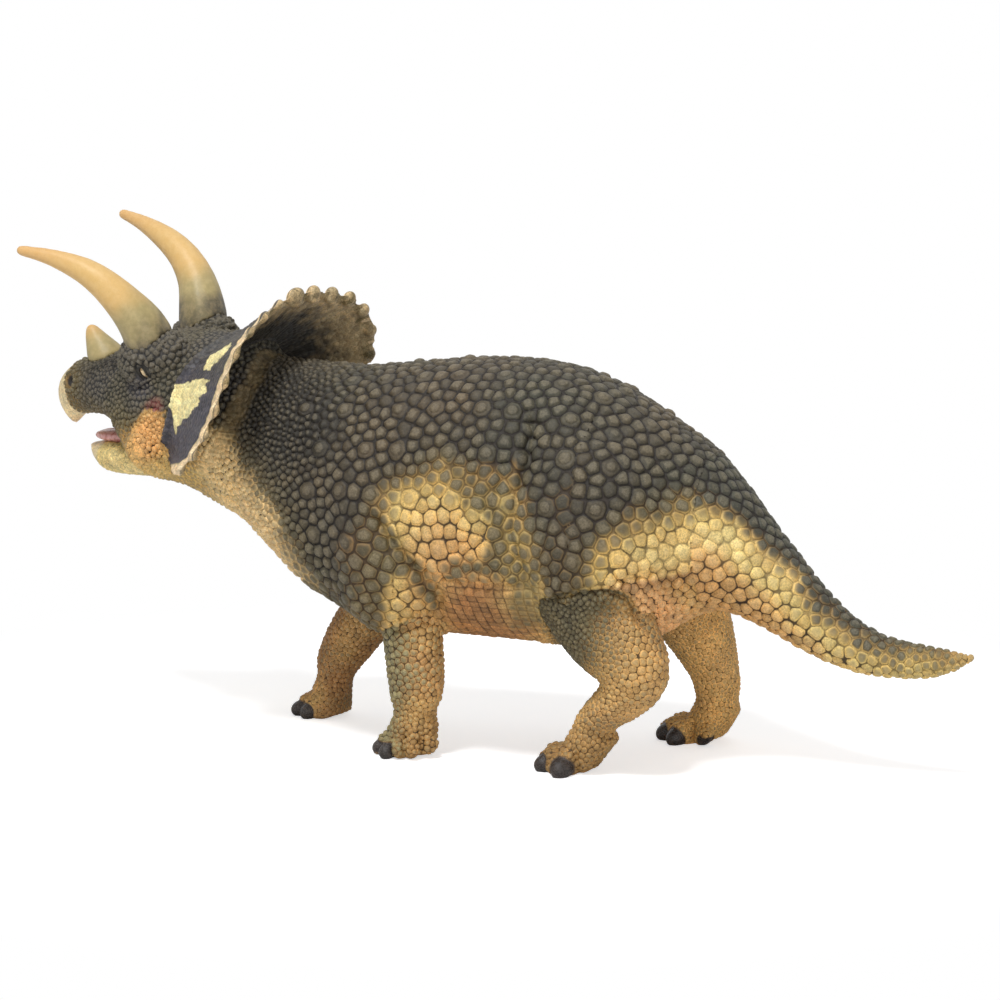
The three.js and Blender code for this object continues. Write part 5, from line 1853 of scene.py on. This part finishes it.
def add_tongue():
    piece, points = smooth_form("tongue", 0.22, 4)
    places = in_head(points)
    groove = 0.35 * bell(places[:, 1], 0.5) * step(-9.9, -9.2, places[:, 2])
    set_places(piece, points - groove[:, None] * normals_of(piece))
    material, tree, shader = new_material("wet_tongue")
    shader.inputs["Coat Weight"].default_value = 0.6
    shader.inputs["Coat Roughness"].default_value = 0.15
    blotch = fine_noise(tree, 900, 4)
    tone = mix_colours(tree, TONGUE_DARK, TONGUE_LIGHT, spread(tree, blotch, 0.35, 0.65))
    tree.links.new(tone, shader.inputs["Base Color"])
    tree.links.new(spread(tree, blotch, 0.3, 0.7, 0.22, 0.38), shader.inputs["Roughness"])
    add_bump(tree, shader, blotch, 0.4, 0.0001)
    finish_smooth(piece, "tongue_blade", "tongue", "tongue", material)


# Studio

FLOOR_SIZE = 80.0
SHADOW_REACH = (0.085, 0.18)  # metres from the figure over which the floor turns to plain white


def add_floor():
    """A white floor that keeps the figure's shadow and fades to plain white away from it."""
    bpy.ops.mesh.primitive_plane_add(size=FLOOR_SIZE)
    floor = bpy.context.active_object
    floor.name = "floor"
    material, tree, shader = new_material("white_floor")
    shader.inputs["Roughness"].default_value = 0.9
    shader.inputs["Specular IOR Level"].default_value = 0.1
    shader.inputs["Base Color"].default_value = (0.86, 0.86, 0.87, 1)
    path = add_node(tree, "ShaderNodeLightPath")
    glow = add_node(tree, "ShaderNodeEmission", Color=(1, 1, 1, 1))
    tree.links.new(maths(tree, "MULTIPLY", path.outputs["Is Camera Ray"], 0.6), glow.inputs["Strength"])
    lit = add_node(tree, "ShaderNodeAddShader")
    tree.links.new(shader.outputs[0], lit.inputs[0])
    tree.links.new(glow.outputs[0], lit.inputs[1])
    coordinates = add_node(tree, "ShaderNodeTexCoord")
    reach = add_node(tree, "ShaderNodeVectorMath", operation="LENGTH")
    tree.links.new(coordinates.outputs["Object"], reach.inputs[0])
    away = spread(tree, reach.outputs["Value"], *SHADOW_REACH)
    white = add_node(tree, "ShaderNodeEmission", Color=(1, 1, 1, 1))
    both = add_node(tree, "ShaderNodeMixShader")
    tree.links.new(maths(tree, "MULTIPLY", away, path.outputs["Is Camera Ray"]), both.inputs[0])
    tree.links.new(lit.outputs[0], both.inputs[1])
    tree.links.new(white.outputs[0], both.inputs[2])
    tree.links.new(both.outputs[0], tree.nodes["Material Output"].inputs["Surface"])
    floor.data.materials.append(material)


def add_lamp(name, place, size, power):
    data = bpy.data.lights.new(name, "AREA")
    data.shape = "DISK"
    data.size = size
    data.energy = power
    lamp = bpy.data.objects.new(name, data)
    lamp.location = place
    aim = Vector((0, 0, 0.05)) - lamp.location
    lamp.rotation_euler = aim.to_track_quat("-Z", "Y").to_euler()
    bpy.context.collection.objects.link(lamp)


# Name, place, width in metres and power in watts
LAMPS = [
    ("key", (-0.1, -0.6, 1.25), 0.3, 12.5),
    ("fill", (0.6, -1.0, 0.15), 0.8, 4.2),
    ("top", (0.1, 0.5, 1.2), 0.9, 1.6),
]


def light_studio():
    for lamp in LAMPS:
        add_lamp(*lamp)
    world = bpy.data.worlds.new("studio")
    bpy.context.scene.world = world
    world.use_nodes = True
    tree = world.node_tree
    background = tree.nodes["Background"]
    path = add_node(tree, "ShaderNodeLightPath")
    seen = maths(tree, "MAXIMUM", path.outputs["Is Camera Ray"], path.outputs["Is Glossy Ray"])
    strength = maths(tree, "MULTIPLY_ADD", seen, 0.7, 0.3)
    background.inputs["Color"].default_value = (1, 1, 1, 1)
    tree.links.new(strength, background.inputs["Strength"])


bpy.context.scene.view_settings.view_transform = "Standard"
deselect()
add_camera()
skin_group = painted_skin_group()
model_skin()
horn_paint = horn_material()
for horn in HORNS:
    add_horn(*horn, horn_paint)
add_tongue()
add_floor()
light_studio()
